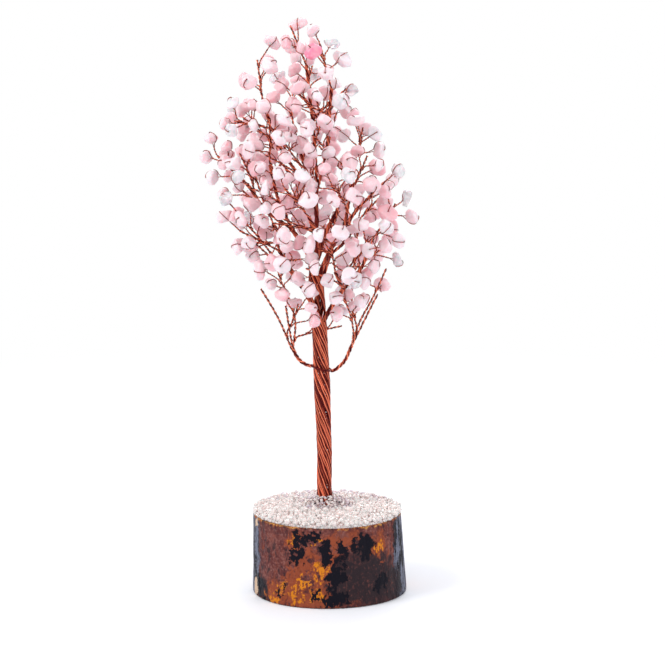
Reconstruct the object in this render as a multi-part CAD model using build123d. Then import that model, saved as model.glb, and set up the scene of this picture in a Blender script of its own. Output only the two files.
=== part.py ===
from build123d import *
import math
import os
import random

import numpy as np

os.makedirs("parts", exist_ok=True)

# All lengths are in millimetres. +X is the viewer's right, +Y points away from the viewer and +Z is up.
# The origin is the centre of the underside of the wood slice.

# Wood slice and its bark
slice_height = 35.5
slice_top_diameter = 66.0
slice_foot_diameter = 69.0
slice_foot_shift = 1.0
bark_thickness = 2.6
edge_round = 1.1
bark_rings = 4
bark_corners = 14
bark_waver = 0.5
bark_waver_phases = (0.6, 2.0)

# Socket for the foot of the trunk
socket_depth = 18.0
socket_clearance = 0.25

# Glue bed and gravel
bed_edge_inset = 1.2
bed_rim_thickness = 1.2
bed_crown_thickness = 3.2
bed_trunk_clearance = 0.25
bed_steps = 5
grain_length = 4.4
grain_width = 3.5
grain_depth = 2.7
grain_gap = 0.15
grain_spacing = 2.62
grain_size_shares = (1.0, 0.86, 0.94, 0.78)
grain_facets = 11
grain_seed = 50
rim_share = 0.80
heart_share = 0.42

# Trunk rope: strands laid left-handed round a core
rope_pitch = 50.0
strand_diameter = 2.1
core_diameter = 2.2
strand_gap = 0.12
rope_step = 3.1
rope_swell = 0.3
rope_swell_height = 92.0
rope_swell_reach = 13.0
rope_phase = 6.2
core_sway_share = 0.25

# Heights and sideways places of the trunk's centre line
trunk_heights = (17.0, 48.0, 62.0, 99.0, 118.0, 142.0, 166.0, 178.0)
trunk_leans = (-0.9, -1.2, -1.1, -2.4, -3.3, -5.0, -4.4, -5.2)

# Wires of the crown
limb_diameter = 1.9
branch_diameter = 1.4
arm_diameter = 1.5
arm_branch_diameter = 1.0
stalk_diameter = 0.9
twig_diameter = 0.6
wire_diameter = 0.3
wire_clearance = 0.12
root_clearance = 0.16
hinge_gap = 0.4
strand_end_gap = 0.8
corner_share = 0.45
arc_halvings = 2
limb_run_out = 4.0
limb_run_up = 7.0
fork_run_out = 9.6
fork_run_up = 15.0
fork_gap = 0.35
branch_sag_share = 0.10
branch_bow = 1.5
stalk_shortest = 16.0
stalk_longest = 23.0
stalk_bow_share = 0.06
root_free_length = 1.2

# Drilled chips of rose quartz and the twigs that hold them
chip_length = 8.8
chip_width = 6.8
chip_depth = 5.4
chip_bore = 1.0
chip_facets = 18
chip_seeds = (57, 72, 9, 56, 17, 7, 54, 32)
loop_bend = 0.75
loop_shoulder = 1.8
neck_drop = 1.5
twig_length = 5.4
chip_size_shares = (1.0, 0.90, 1.05, 0.86, 1.12, 0.95, 1.0, 0.92)
twig_length_shares = (0.80, 1.0, 1.25, 0.9, 1.1, 0.7, 1.35, 1.0)
facet_height_shares = (0.3, 0.7)
facet_turn = 0.3
facet_reach_shares = (0.86, 0.96)

# Outline of the crown: height share, centre share and half-width share
crown_foot_height = 118.0
crown_height = 122.0
crown_half_width = 41.0
crown_half_depth = 36.0
crown_outline_shares = (
    (0.00, 0.00, 0.30),
    (0.08, -0.02, 0.46),
    (0.16, -0.08, 0.68),
    (0.24, -0.10, 0.86),
    (0.33, -0.06, 0.90),
    (0.42, -0.10, 1.00),
    (0.50, -0.22, 0.98),
    (0.58, -0.27, 1.00),
    (0.66, -0.34, 0.90),
    (0.74, -0.34, 0.76),
    (0.82, -0.38, 0.68),
    (0.90, -0.38, 0.58),
    (1.00, -0.27, 0.40),
    (1.04, -0.26, 0.27),
    (1.08, -0.26, 0.14),
)
outline_foot_share = 0.04
outline_reach_share = 1.03
stalk_reach_share = 0.93
outside_weight = 25.0

# Limbs: rope strand, height at which it leaves, and each branch's azimuth, reach share and height share
limb_rows = (
    (2, 121.0, ((352, 0.60, 0.30), (292, 0.60, 0.22))),
    (0, 127.5, ((198, 0.62, 0.28), (150, 0.62, 0.36))),
    (5, 134.0, ((108, 0.62, 0.30), (48, 0.62, 0.36))),
    (4, 141.0, ((262, 0.62, 0.42), (322, 0.60, 0.50))),
    (3, 148.0, ((188, 0.62, 0.52), (236, 0.56, 0.60))),
    (1, 155.0, ((112, 0.56, 0.56), (14, 0.58, 0.58))),
)
leader_rows = ((200, 0.45, 0.80), (340, 0.72, 0.86), (92, 0.45, 0.70), (335, 0.26, 0.94))
limb_swing_in = -2.0
limb_swing_out = 8.0
arm_swing_in = -2.0
arm_swing_out = 25.0
swing_step = 3.0

# Low side arms, laid by hand: run and branches as shares of the reach, the depth and the rise
arm_wrap_height = 100.0
arm_wrap_tilt = 14.0
arm_wrap_diameter = 1.1
arm_reach = 26.0
arm_depth = 14.0
arm_rise = 36.0
left_arm_shares = (
    ((0.00, 0.00, 0.00), (-0.12, -0.05, 0.05), (-0.20, -0.10, 0.13), (-0.25, -0.14, 0.22)),
    (
        ((-0.46, -0.28, 0.56), (-0.64, -0.36, 0.80), (-0.78, -0.44, 0.97)),
        ((-0.32, -0.66, 0.56), (-0.36, -1.00, 0.80)),
        ((-0.20, 0.44, 0.50), (-0.30, 0.80, 0.74)),
    ),
)
right_arm_shares = (
    ((0.00, 0.00, 0.00), (0.17, -0.05, 0.11), (0.28, -0.10, 0.31)),
    (
        ((0.40, -0.34, 0.61), (0.60, -0.54, 0.88)),
        ((0.51, 0.26, 0.62), (0.72, 0.56, 0.90)),
    ),
)

# Counts and the spread of the sprigs
sprigs_per_branch = 4
sprigs_per_leader = 5
sprigs_per_arm_branch = 2
chips_per_sprig = 8
stalk_trials = 34
chip_trials = 50
spread_share = 0.30
stalk_spread_share = 0.75
layout_seed = 11

# Shares that place things along a wire
first_sprig_share = 0.22
last_sprig_share = 0.92
first_chip_share = 0.30

# How far stalks and twigs lean off what they grow from, in degrees, and how low they may point
end_stalk_leans = (4, 20)
side_stalk_leans = (28, 75)
end_twig_leans = (4, 30)
side_twig_leans = (38, 80)
stalk_lowest_share = -0.15
twig_lowest_share = -0.35

golden_turn = math.pi * (3.0 - math.sqrt(5.0))
overrun = 4.0
up = np.array([0.0, 0.0, 1.0])


def unit(vector):
    return vector / np.linalg.norm(vector)


def crossed(first, second):
    """Cross product of two vectors"""
    a, b, c = first
    d, e, f = second
    return np.array([b * f - c * e, c * d - a * f, a * e - b * d])


def row_dots(first, second):
    """Dot products of the rows of two arrays"""
    return np.einsum("ij,ij->i", first, second)


def polar(azimuth):
    angle = math.radians(azimuth)
    return np.array([math.cos(angle), math.sin(angle), 0.0])


def trunk_lean(height):
    """Sideways place of the trunk's centre line at a height"""
    return float(np.interp(height, trunk_heights, trunk_leans))


def crown_section(height):
    """Centre, half width and half depth of the crown at a height"""
    share = (height - crown_foot_height) / crown_height
    shares = [row[0] for row in crown_outline_shares]
    centre = np.interp(share, shares, [row[1] for row in crown_outline_shares])
    wide = np.interp(share, shares, [row[2] for row in crown_outline_shares])
    return centre * crown_half_width, wide * crown_half_width, wide * crown_half_depth


def crown_reach(point):
    """How far out in the crown a point is: 1 on the outline"""
    centre, half_width, half_depth = crown_section(point[2])
    share = (point[2] - crown_foot_height) / crown_height
    outside = max(0.0, -share - outline_foot_share, share - crown_outline_shares[-1][0])
    across = math.hypot((point[0] - centre) / half_width, point[1] / half_depth)
    return across + outside * outside_weight


def strand_radius(height):
    """Distance of the strands' centres from the centre line of the rope"""
    swell = rope_swell * math.exp(-(((height - rope_swell_height) / rope_swell_reach) ** 2))
    return core_diameter / 2 + strand_diameter / 2 + strand_gap + swell


def strand_azimuth(strand, height):
    return rope_phase + strand * 360.0 / len(limb_rows) - 360.0 * height / rope_pitch


def strand_point(strand, height):
    centre = np.array([trunk_lean(height), 0.0, height])
    return centre + polar(strand_azimuth(strand, height)) * strand_radius(height)


def steps_between(low, high, step):
    """Evenly spaced values from low to high, at most a step apart"""
    count = max(2, math.ceil((high - low) / step))
    return [low + (high - low) * index / count for index in range(count + 1)]


def point_along(points, share):
    """Point and direction at a share of a path's length"""
    lengths = [np.linalg.norm(b - a) for a, b in zip(points, points[1:])]
    left = share * sum(lengths)
    for start, end, length in zip(points, points[1:], lengths):
        if left <= length:
            return start + (end - start) * left / length, unit(end - start)
        left = left - length
    return points[-1], unit(points[-1] - points[-2])


def sides_of(direction):
    """Two directions at right angles to a direction"""
    helper = up if abs(direction[2]) < 0.9 else np.array([1.0, 0.0, 0.0])
    side = unit(crossed(helper, direction))
    return side, crossed(direction, side)


def leaning(direction, lean, turn):
    """A direction that leans off another one"""
    side, other = sides_of(direction)
    return direction * math.cos(lean) + (side * math.cos(turn) + other * math.sin(turn)) * math.sin(lean)


def arc_between(first, corner, last, halvings):
    """Points of the arc that touches both legs of a corner"""
    if halvings == 0:
        return [first, last]
    reach = np.linalg.norm(first - corner)
    kept = reach / (reach + np.linalg.norm(last - first) / 2)
    near = corner + (first - corner) * kept
    far = corner + (last - corner) * kept
    middle = (near + far) / 2
    return arc_between(first, near, middle, halvings - 1) + arc_between(middle, far, last, halvings - 1)[1:]


def eased(points):
    """A path with points of an arc in place of each corner"""
    path = [points[0]]
    for before, corner, after in zip(points, points[1:], points[2:]):
        reach = corner_share * min(np.linalg.norm(corner - before), np.linalg.norm(after - corner))
        first = corner + unit(before - corner) * reach
        last = corner + unit(after - corner) * reach
        path = path + arc_between(first, corner, last, arc_halvings)
    return path + [points[-1]]


def root_offset(carrier_diameter, diameter, lean, at_end):
    """Distance from the centre line of its carrier, or from its end, at which a leaning wire begins"""
    if at_end:
        return (root_clearance + diameter / 2 * math.sin(lean)) / math.cos(lean)
    return (carrier_diameter / 2 + root_clearance + diameter / 2 * math.cos(lean)) / math.sin(lean)


def capsules(points, diameter):
    """The runs of a wire as capsules"""
    return [(start, end, diameter / 2) for start, end in zip(points, points[1:])]


def freed(run):
    """A wire's first capsule without the stretch beside its carrier"""
    start, end, radius = run
    return start + unit(end - start) * root_free_length, end, radius


def twig_capsules(root, direction, spin, pattern):
    """The chip's space, the stem and the three runs of its loop"""
    side, other = sides_of(direction)
    across = side * math.cos(spin) + other * math.sin(spin)
    sideways = crossed(direction, across)
    size = chip_size_shares[pattern]
    stem = twig_length * twig_length_shares[pattern]
    radius = chip_width * size / 2 + wire_clearance + wire_diameter
    half = max(chip_length * size / 2 - radius, wire_clearance)
    centre = root + direction * (stem + chip_depth * size / 2)
    chip = (centre - across * half, centre + across * half, radius)
    neck = root + direction * (stem - neck_drop)
    top = root + direction * (stem + chip_depth * size + loop_bend)
    reach = sideways * (chip_width * size / 2 + wire_clearance + wire_diameter / 2)
    tuck = loop_shoulder * (1 - math.sqrt(0.5))
    shoulder = top + reach - (sideways + direction) * tuck
    hip = root + direction * stem + reach
    thick = wire_diameter + tuck
    return [chip, (root, neck, twig_diameter / 2)] + capsules([top, shoulder, hip, neck], thick)


def turned(items, hinge, angle):
    """Capsules turned about a hinge"""
    place, axis = hinge[0], hinge[1]
    x, y, z = axis * math.sin(angle)
    skew = np.array([[0.0, -z, y], [z, 0.0, -x], [-y, x, 0.0]])
    turning = np.eye(3) * math.cos(angle) + skew + np.outer(axis, axis) * (1.0 - math.cos(angle))
    moved = []
    for start, end, radius in items:
        moved.append((place + turning @ (start - place), place + turning @ (end - place), radius))
    return moved


class Space:
    """Capsules that are already placed, with the body that each belongs to"""

    def __init__(self):
        self.starts = np.zeros((0, 3))
        self.ends = np.zeros((0, 3))
        self.middles = np.zeros((0, 3))
        self.radii = np.zeros(0)
        self.reaches = np.zeros(0)
        self.bodies = np.zeros(0, int)

    def add(self, items, body):
        self.starts = np.vstack([self.starts] + [item[0] for item in items])
        self.ends = np.vstack([self.ends] + [item[1] for item in items])
        self.middles = (self.starts + self.ends) / 2
        self.radii = np.concatenate([self.radii, [item[2] for item in items]])
        runs = self.ends - self.starts
        self.reaches = np.sqrt(row_dots(runs, runs)) / 2 + self.radii
        self.bodies = np.concatenate([self.bodies, [body] * len(items)])

    def gap(self, item, apart_from=None):
        """Least gap of one capsule to the near ones among those placed, apart from one body's"""
        start, end, radius = item
        run = end - start
        own = max(run @ run, 1e-9)
        away = self.middles - (start + end) / 2
        reach = math.sqrt(own) / 2 + radius + chip_length * stalk_spread_share
        near = row_dots(away, away) < (self.reaches + reach) ** 2
        if apart_from is not None:
            near = near & (self.bodies != apart_from)
        near = near.nonzero()[0]
        if not len(near):
            return math.inf
        first = self.starts[near]
        runs = self.ends[near] - first
        offset = start - first
        theirs = np.maximum(row_dots(runs, runs), 1e-9)
        along = row_dots(runs, offset)
        slip = offset @ run
        both = runs @ run
        crossing = np.maximum(own * theirs - both * both, 1e-9)
        share = np.minimum(np.maximum((both * along - slip * theirs) / crossing, 0.0), 1.0)
        other = np.minimum(np.maximum((both * share + along) / theirs, 0.0), 1.0)
        share = np.minimum(np.maximum((both * other - slip) / own, 0.0), 1.0)
        apart = offset + share[:, None] * run - other[:, None] * runs
        return (np.sqrt(row_dots(apart, apart)) - radius - self.radii[near]).min()


class Crown:
    """All wires and chips above the base, kept clear of each other at rest and over the limbs' swings"""

    def __init__(self):
        self.wires = []
        self.chips = []
        self.hinges = {}
        self.at_rest = Space()
        self.swung = Space()
        self.all_in = Space()
        self.all_out = Space()
        self.random = random.Random(layout_seed)

    def swings(self, body):
        """The angles besides rest at which a body is kept clear"""
        low, high = self.hinges[body][2:]
        return [high, low] + steps_between(0.0, high, math.radians(swing_step))[1:-1]

    def gap(self, items, body):
        """Least gap of some capsules to all others, or the first one that is too small"""
        least = math.inf
        for item in items:
            least = min(least, self.at_rest.gap(item))
            if least < wire_clearance:
                return least
            least = min(least, self.swung.gap(item, body))
            if least < wire_clearance:
                return least
        if body in self.hinges:
            low, high = self.hinges[body][2:]
            for angle in self.swings(body):
                for item in turned(items, self.hinges[body], angle):
                    least = min(least, self.at_rest.gap(item, body))
                    if angle == low:
                        least = min(least, self.all_in.gap(item, body))
                    if angle == high:
                        least = min(least, self.all_out.gap(item, body))
                    if least < wire_clearance:
                        return least
        return least

    def keep(self, items, body):
        self.at_rest.add(items, body)
        if body in self.hinges:
            low, high = self.hinges[body][2:]
            for angle in self.swings(body):
                self.swung.add(turned(items, self.hinges[body], angle), body)
            self.all_in.add(turned(items, self.hinges[body], low), body)
            self.all_out.add(turned(items, self.hinges[body], high), body)

    def wire(self, kind, body, points, diameter):
        self.wires.append((kind, body, points, diameter))
        self.keep(capsules(eased(points), diameter), body)

    def hinge(self, body, place, azimuth, low, high):
        axis = crossed(up, polar(azimuth))
        self.hinges[body] = (place, axis, math.radians(low), math.radians(high))

    def branch_paths(self, wire, rows):
        """Paths from the end of a wire to the tips that the rows give"""
        tips = []
        for azimuth, reach, rise in rows:
            height = crown_foot_height + rise * crown_height
            centre, half_width, half_depth = crown_section(height)
            outward = polar(azimuth) * reach
            tips.append(np.array([centre + half_width * outward[0], half_depth * outward[1], height]))
        paths = []
        for row, tip, first in zip(rows, tips, fork_starts(wire, tips, branch_diameter)):
            length = np.linalg.norm(tip - first)
            middle = (first + tip) / 2 - up * branch_sag_share * length + polar(row[0]) * branch_bow
            paths.append([first, middle, tip])
        return paths

    def grow_stalk(self, body, path, diameter, share):
        """Best free path of a new stalk at a share of a branch"""
        last = share == 1.0
        root, direction = point_along(path, share)
        length = self.random.uniform(stalk_shortest, stalk_longest)
        best = None
        best_score = -math.inf
        for trial in range(stalk_trials):
            lean = math.radians(self.random.uniform(*(end_stalk_leans if last else side_stalk_leans)))
            way = leaning(direction, lean, self.random.uniform(0, 2 * math.pi))
            start = root + way * root_offset(diameter, stalk_diameter, lean, last)
            bow = sides_of(way)[0] * length * stalk_bow_share
            stalk = [start, start + way * length / 2 + bow, start + way * length]
            reach = crown_reach(stalk[-1])
            if way[2] < stalk_lowest_share or reach > stalk_reach_share:
                continue
            runs = capsules(eased(stalk), stalk_diameter)
            gap = self.gap([freed(runs[0])] + runs[1:], body)
            if gap < wire_clearance:
                continue
            score = min(gap / (chip_length * stalk_spread_share), 1.0) + reach / 2
            if score > best_score:
                best = stalk
                best_score = score
        return best

    def hang_chip(self, body, path, share):
        """Best free place of a new twig with its chip at a share of a stalk"""
        last = share == 1.0
        base, direction = point_along(path, share)
        best = None
        best_score = -math.inf
        for trial in range(chip_trials):
            lean = math.radians(self.random.uniform(*(end_twig_leans if last else side_twig_leans)))
            way = leaning(direction, lean, self.random.uniform(0, 2 * math.pi))
            pattern = self.random.randrange(len(chip_size_shares))
            spin = self.random.uniform(0, 2 * math.pi)
            root = base + way * root_offset(stalk_diameter, twig_diameter, lean, last)
            chip, stem, *loop = twig_capsules(root, way, spin, pattern)
            reach = crown_reach((chip[0] + chip[1]) / 2)
            if way[2] < twig_lowest_share or reach > outline_reach_share:
                continue
            gap = self.gap([chip], body)
            if gap < wire_clearance or self.gap([freed(stem)] + loop, body) < wire_clearance:
                continue
            score = min(gap / (chip_length * spread_share), 1.0) + reach / 2
            if score > best_score:
                best = (body, root, way, spin, pattern)
                best_score = score
        if best is not None:
            self.chips.append(best)
            self.keep(twig_capsules(*best[1:]), body)

    def grow_sprigs(self, branches):
        """A stalk with its chips at each place of each branch, the outermost ones first"""
        places = []
        for number, (body, path, diameter, count) in enumerate(branches):
            for index in range(count):
                gap = last_sprig_share - first_sprig_share
                share = 1.0 if index == count - 1 else first_sprig_share + gap * index / (count - 1)
                places.append((-index, number, body, path, diameter, share))
        places.sort(key=lambda place: place[:2])
        for index, number, body, path, diameter, share in places:
            stalk = self.grow_stalk(body, path, diameter, share)
            if stalk is None:
                continue
            self.wire("stalk", body, stalk, stalk_diameter)
            for chip_share in np.linspace(first_chip_share, 1.0, chips_per_sprig):
                self.hang_chip(body, eased(stalk), chip_share)


def fork_starts(wire, tips, diameter):
    """Where the branches at the end of a wire begin, side by side on its face"""
    end = wire[-1]
    direction = unit(wire[-1] - wire[-2])
    middle = sum(tips) / len(tips)
    spread = (diameter + wire_clearance) / 2 / math.sin(math.pi / len(tips))
    starts = []
    for tip in tips:
        aside = tip - middle
        aside = unit(aside - direction * (aside @ direction))
        starts.append(end + direction * fork_gap + aside * spread)
    return starts


def arm_points(start, shares):
    """Points of a side arm, measured from its start"""
    return [start + np.array([x * arm_reach, y * arm_depth, z * arm_rise]) for x, y, z in shares]


def arm_start(side):
    """Where an arm leaves the wrap: side is -1 on the left and 1 on the right"""
    slope = math.radians(arm_wrap_tilt)
    reach = wrap_radius() * math.cos(slope) + arm_wrap_diameter / 2 + arm_diameter / 2 + hinge_gap
    rise = wrap_radius() * math.sin(slope)
    return np.array([trunk_lean(arm_wrap_height) + side * reach, 0.0, arm_wrap_height - side * rise])


def wrap_radius():
    """Radius of the wrap's centre line, which clears the rope where the wrap is tilted"""
    rope = strand_radius(arm_wrap_height) + strand_diameter / 2
    return (rope + wire_clearance + arm_wrap_diameter / 2) / math.cos(math.radians(arm_wrap_tilt))


def lay_out_crown():
    """Trunk, limbs, arms, branches, sprigs and chips"""
    crown = Crown()
    names = ["trunk"]
    rope = strand_radius(rope_swell_height) * 2 + strand_diameter
    first_leave = limb_rows[0][1]
    heights = steps_between(slice_height, first_leave, rope_step)
    crown.keep(capsules([np.array([trunk_lean(z), 0.0, z]) for z in heights], rope), 0)
    for row in limb_rows[1:]:
        heights = steps_between(first_leave, row[1], rope_step)
        crown.keep(capsules([strand_point(row[0], z) for z in heights], strand_diameter), 0)
    heights = steps_between(first_leave, trunk_heights[-1], rope_step)
    leader = [np.array([trunk_lean(z), 0.0, z]) for z in heights]
    crown.keep(capsules(leader, core_diameter), 0)
    branches = []
    for number, (strand, height, rows) in enumerate(limb_rows, 1):
        names.append(f"limb_{number}")
        azimuth = strand_azimuth(strand, height)
        start = strand_point(strand, height)
        outward = polar(azimuth)
        fork = start + outward * fork_run_out + up * fork_run_up
        crown.hinge(number, start, azimuth, limb_swing_in, limb_swing_out)
        bend = start + outward * limb_run_out + up * limb_run_up
        crown.wire("limb", number, [start, bend, fork], limb_diameter)
        for path in crown.branch_paths([start, fork], rows):
            crown.wire("branch", number, path, branch_diameter)
            branches.append((number, eased(path), branch_diameter, sprigs_per_branch))
    for path in crown.branch_paths(leader, leader_rows):
        crown.wire("branch", 0, path, branch_diameter)
        branches.append((0, eased(path), branch_diameter, sprigs_per_leader))
    arms = (("left_arm", -1, left_arm_shares), ("right_arm", 1, right_arm_shares))
    for name, side, (run, forks) in arms:
        body = len(names)
        names.append(name)
        start = arm_start(side)
        crown.hinge(body, start, 90.0 - 90.0 * side, arm_swing_in, arm_swing_out)
        arm = arm_points(start, run)
        crown.wire("arm", body, arm, arm_diameter)
        paths = [arm_points(start, shares) for shares in forks]
        firsts = fork_starts(arm, [path[0] for path in paths], arm_branch_diameter)
        for first, path in zip(firsts, paths):
            path = [first] + path
            crown.wire("branch", body, path, arm_branch_diameter)
            branches.append((body, eased(path), arm_branch_diameter, sprigs_per_arm_branch))
    crown.grow_sprigs(branches)
    return crown, names


def tube(points, diameter):
    """Round wire along straight runs joined by tangent arcs"""
    corners = [Vector(*point) for point in points]
    if len(corners) == 2:
        path = Line(*corners)
    else:
        radii = []
        for before, corner, after in zip(corners, corners[1:], corners[2:]):
            turn = math.radians((corner - before).get_angle(after - corner))
            shorter = min((corner - before).length, (after - corner).length)
            radii.append(corner_share * shorter / math.tan(turn / 2))
        path = FilletPolyline(*corners, radius=radii)
    section = Plane(origin=path @ 0, z_dir=path % 0) * Circle(diameter / 2)
    return sweep(section, path=path).solid()


def faceted_stone(length, width, depth, facets, seed):
    """A convex pebble with flat facets, centred on the origin"""
    dice = random.Random(seed)
    half = (length / 2, width / 2, depth / 2)
    stone = Box(length, width, depth)
    for index in range(facets):
        height = 1 - 2 * (index + dice.uniform(*facet_height_shares)) / facets
        turn = index * golden_turn + dice.uniform(-facet_turn, facet_turn)
        flat = math.sqrt(1 - height * height)
        normal = Vector(flat * math.cos(turn), flat * math.sin(turn), height)
        reach = math.hypot(half[0] * normal.X, half[1] * normal.Y, half[2] * normal.Z)
        cut = Plane(origin=normal * reach * dice.uniform(*facet_reach_shares), z_dir=normal)
        stone = split(stone, bisect_by=cut, keep=Keep.BOTTOM)
    return stone.solid()


def chip_pattern(pattern):
    """One drilled chip, its bore along Z and the root of its twig at the origin"""
    size = chip_size_shares[pattern]
    length, width, depth = chip_length * size, chip_width * size, chip_depth * size
    middle = twig_length * twig_length_shares[pattern] + depth / 2
    stone = Pos(0, 0, middle) * faceted_stone(length, width, depth, chip_facets, chip_seeds[pattern])
    bore = Pos(0, 0, middle) * Cylinder(chip_bore / 2, depth + overrun)
    return (stone - bore).solid()


def twig_pattern(pattern):
    """The twisted stem and the loop of wire that holds the chip, in the same frame"""
    size = chip_size_shares[pattern]
    stem = twig_length * twig_length_shares[pattern]
    neck = stem - neck_drop
    top = stem + chip_depth * size + loop_bend
    side = chip_width * size / 2 + wire_clearance + wire_diameter / 2
    radius = wire_diameter / 2
    corners = [(0, 0, neck), (0, 0, top), (0, side, top), (0, side, stem), (0, radius, neck)]
    path = FilletPolyline(*corners, radius=[loop_bend, loop_shoulder, loop_bend])
    section = Plane(origin=path @ 0, z_dir=path % 0) * Circle(radius)
    loop = sweep(section, path=path)
    rod = Pos(0, 0, neck / 2) * Cylinder(twig_diameter / 2, neck)
    return (rod + loop).solid()


def twig_place(root, direction, spin):
    side, other = sides_of(direction)
    across = side * math.cos(spin) + other * math.sin(spin)
    return Plane(origin=Vector(*root), x_dir=Vector(*across), z_dir=Vector(*direction)).location


def write_node(name, solids):
    """One file for one node"""
    solids = list(solids)
    shape = solids[0] if len(solids) == 1 else Compound(children=solids)
    export_step(shape, f"parts/{name}.step")
    print(name, len(solids))


def bark_outline(height, inset):
    """Closed outline of the slice at a height, inset from the bark's surface"""
    share = height / slice_height
    radius = (slice_foot_diameter + (slice_top_diameter - slice_foot_diameter) * share) / 2 - inset
    shift = slice_foot_shift * (1 - share)
    points = []
    for corner in range(bark_corners):
        turn = 2 * math.pi * corner / bark_corners
        first, second = bark_waver_phases
        waver = bark_waver * (math.sin(2 * turn + first) + math.sin(3 * turn + second + share)) / 2
        reach = radius - bark_waver + waver
        points.append((shift + reach * math.cos(turn), reach * math.sin(turn), height))
    return Spline(*points, periodic=True)


def build_slice():
    """The wood with its socket, and the bark round it"""
    heights = [slice_height * ring / (bark_rings - 1) for ring in range(bark_rings)]
    whole = loft([make_face(bark_outline(height, 0)) for height in heights])
    whole = fillet(whole.edges().group_by(Axis.Z)[0], edge_round)
    core = loft([make_face(bark_outline(height, bark_thickness)) for height in heights])
    socket_radius = strand_radius(slice_height) + strand_diameter / 2 + socket_clearance
    socket_place = Pos(trunk_leans[0], 0, slice_height - socket_depth + (socket_depth + overrun) / 2)
    wood = core - socket_place * Cylinder(socket_radius, socket_depth + overrun)
    bark = whole - core
    write_node("wood_slice", wood.solids())
    write_node("bark", bark.solids())


def bed_height(radius):
    """Top of the glue bed at a distance from its centre"""
    edge = slice_top_diameter / 2 - bed_edge_inset
    share = min(radius / edge, 1.0)
    return slice_height + bed_crown_thickness + (bed_rim_thickness - bed_crown_thickness) * share * share


def build_gravel():
    """The glue bed, and the grains that lie on it in rings, coarse outside and fine round the trunk"""
    edge = slice_top_diameter / 2 - bed_edge_inset
    hole = strand_radius(slice_height) + strand_diameter / 2 + bed_trunk_clearance
    profile_radii = [edge * step / bed_steps for step in range(bed_steps + 1)]
    top = [(radius, bed_height(radius)) for radius in profile_radii]
    outline = Polyline((0, slice_height), *top, (edge, slice_height), close=True)
    bed = revolve(make_face(Plane.XZ * outline), Axis.Z)
    bore_height = bed_crown_thickness + overrun
    bed = bed - Pos(trunk_leans[0], 0, slice_height + bore_height / 2) * Cylinder(hole, bore_height * 2)
    write_node("glue_bed", bed.solids())
    grains = []
    for index, size in enumerate(grain_size_shares):
        sizes = (grain_length * size, grain_width * size, grain_depth * size)
        grains.append(faceted_stone(*sizes, grain_facets, grain_seed + index))
    nodes = {"gravel_rim": [], "gravel_field": [], "gravel_heart": []}
    dice = random.Random(layout_seed)
    index = 0
    while grain_spacing * math.sqrt(index) < edge - grain_length / 2:
        index = index + 1
        radius = grain_spacing * math.sqrt(index)
        if radius < hole + grain_length / 2 + grain_gap or radius > edge - grain_length / 2:
            continue
        turn = index * golden_turn
        size = dice.randrange(len(grains))
        slope = math.atan(2 * (bed_crown_thickness - bed_rim_thickness) * radius / edge**2)
        lift = grain_depth * grain_size_shares[size] / 2 / math.cos(slope) + grain_gap
        spot = (radius * math.cos(turn), radius * math.sin(turn), bed_height(radius) + lift)
        place = Location(spot, (0, 0, math.degrees(turn)))
        tilt = Location((0, 0, 0), (0, math.degrees(slope), 0))
        spin = Location((0, 0, 0), (0, 0, dice.uniform(0, 360)))
        share = radius / edge
        zone = "rim" if share > rim_share else "heart" if share < heart_share else "field"
        nodes[f"gravel_{zone}"].append(grains[size].moved(place * tilt * spin))
    for name, solids in nodes.items():
        write_node(name, solids)


def build_trunk():
    """Core of the rope with its leader, the strands, and the wrap of the side arms"""
    foot = slice_height - socket_depth + socket_clearance
    heights = steps_between(foot, trunk_heights[-1], rope_step * 2)
    core = tube([(trunk_lean(z) + core_sway(z), 0, z) for z in heights], core_diameter)
    write_node("trunk_core", [core])
    for strand, height, rows in limb_rows:
        path = [strand_point(strand, z) for z in steps_between(foot, height - strand_end_gap, rope_step)]
        write_node(f"trunk_strand_{strand + 1}", [tube(path, strand_diameter)])
    place = Pos(trunk_lean(arm_wrap_height), 0, arm_wrap_height) * Rot(0, arm_wrap_tilt, 0)
    write_node("arm_wrap", [(place * Torus(wrap_radius(), arm_wrap_diameter / 2)).solid()])


def core_sway(height):
    """A hair's width of sway, so that no three points of the core are in line"""
    return wire_clearance * core_sway_share * math.sin(height)


def build_crown():
    """Wires, twigs and chips of each limb, in nodes of their own"""
    crown, names = lay_out_crown()
    chips = [chip_pattern(pattern) for pattern in range(len(chip_size_shares))]
    twigs = [twig_pattern(pattern) for pattern in range(len(chip_size_shares))]
    for body, name in enumerate(names):
        label = "leader" if body == 0 else name
        wires = [wire for wire in crown.wires if wire[1] == body]
        bundles = [tube(points, diameter) for kind, owner, points, diameter in wires if kind != "stalk"]
        stalks = [tube(points, diameter) for kind, owner, points, diameter in wires if kind == "stalk"]
        write_node(f"{label}_bundle", bundles)
        write_node(f"{label}_stalks", stalks)
        hung = [chip for chip in crown.chips if chip[0] == body]
        places = [(twig_place(*chip[1:4]), chip[4]) for chip in hung]
        write_node(f"{label}_twigs", [twigs[pattern].moved(place) for place, pattern in places])
        write_node(f"{label}_chips", [chips[pattern].moved(place) for place, pattern in places])
    for body, (place, axis, low, high) in crown.hinges.items():
        print(names[body], [round(float(v), 3) for v in place], [round(float(v), 5) for v in axis])
    print("chips", len(crown.chips), "stalks", sum(wire[0] == "stalk" for wire in crown.wires))


build_slice()
build_gravel()
build_trunk()
build_crown()
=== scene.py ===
"""Looks of a gemstone tree: copper wire rope and twigs, rose quartz chips, a gravel bed and a slice of wood.

Lengths of the plan are in millimetres, as on the bench, and meshes are built in metres.
"""

import logging
import math
import random
from dataclasses import dataclass, field
from enum import Enum
from typing import Iterable, Mapping, Sequence, Union

import bmesh
import bpy
import numpy as np
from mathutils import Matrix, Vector, noise

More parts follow.
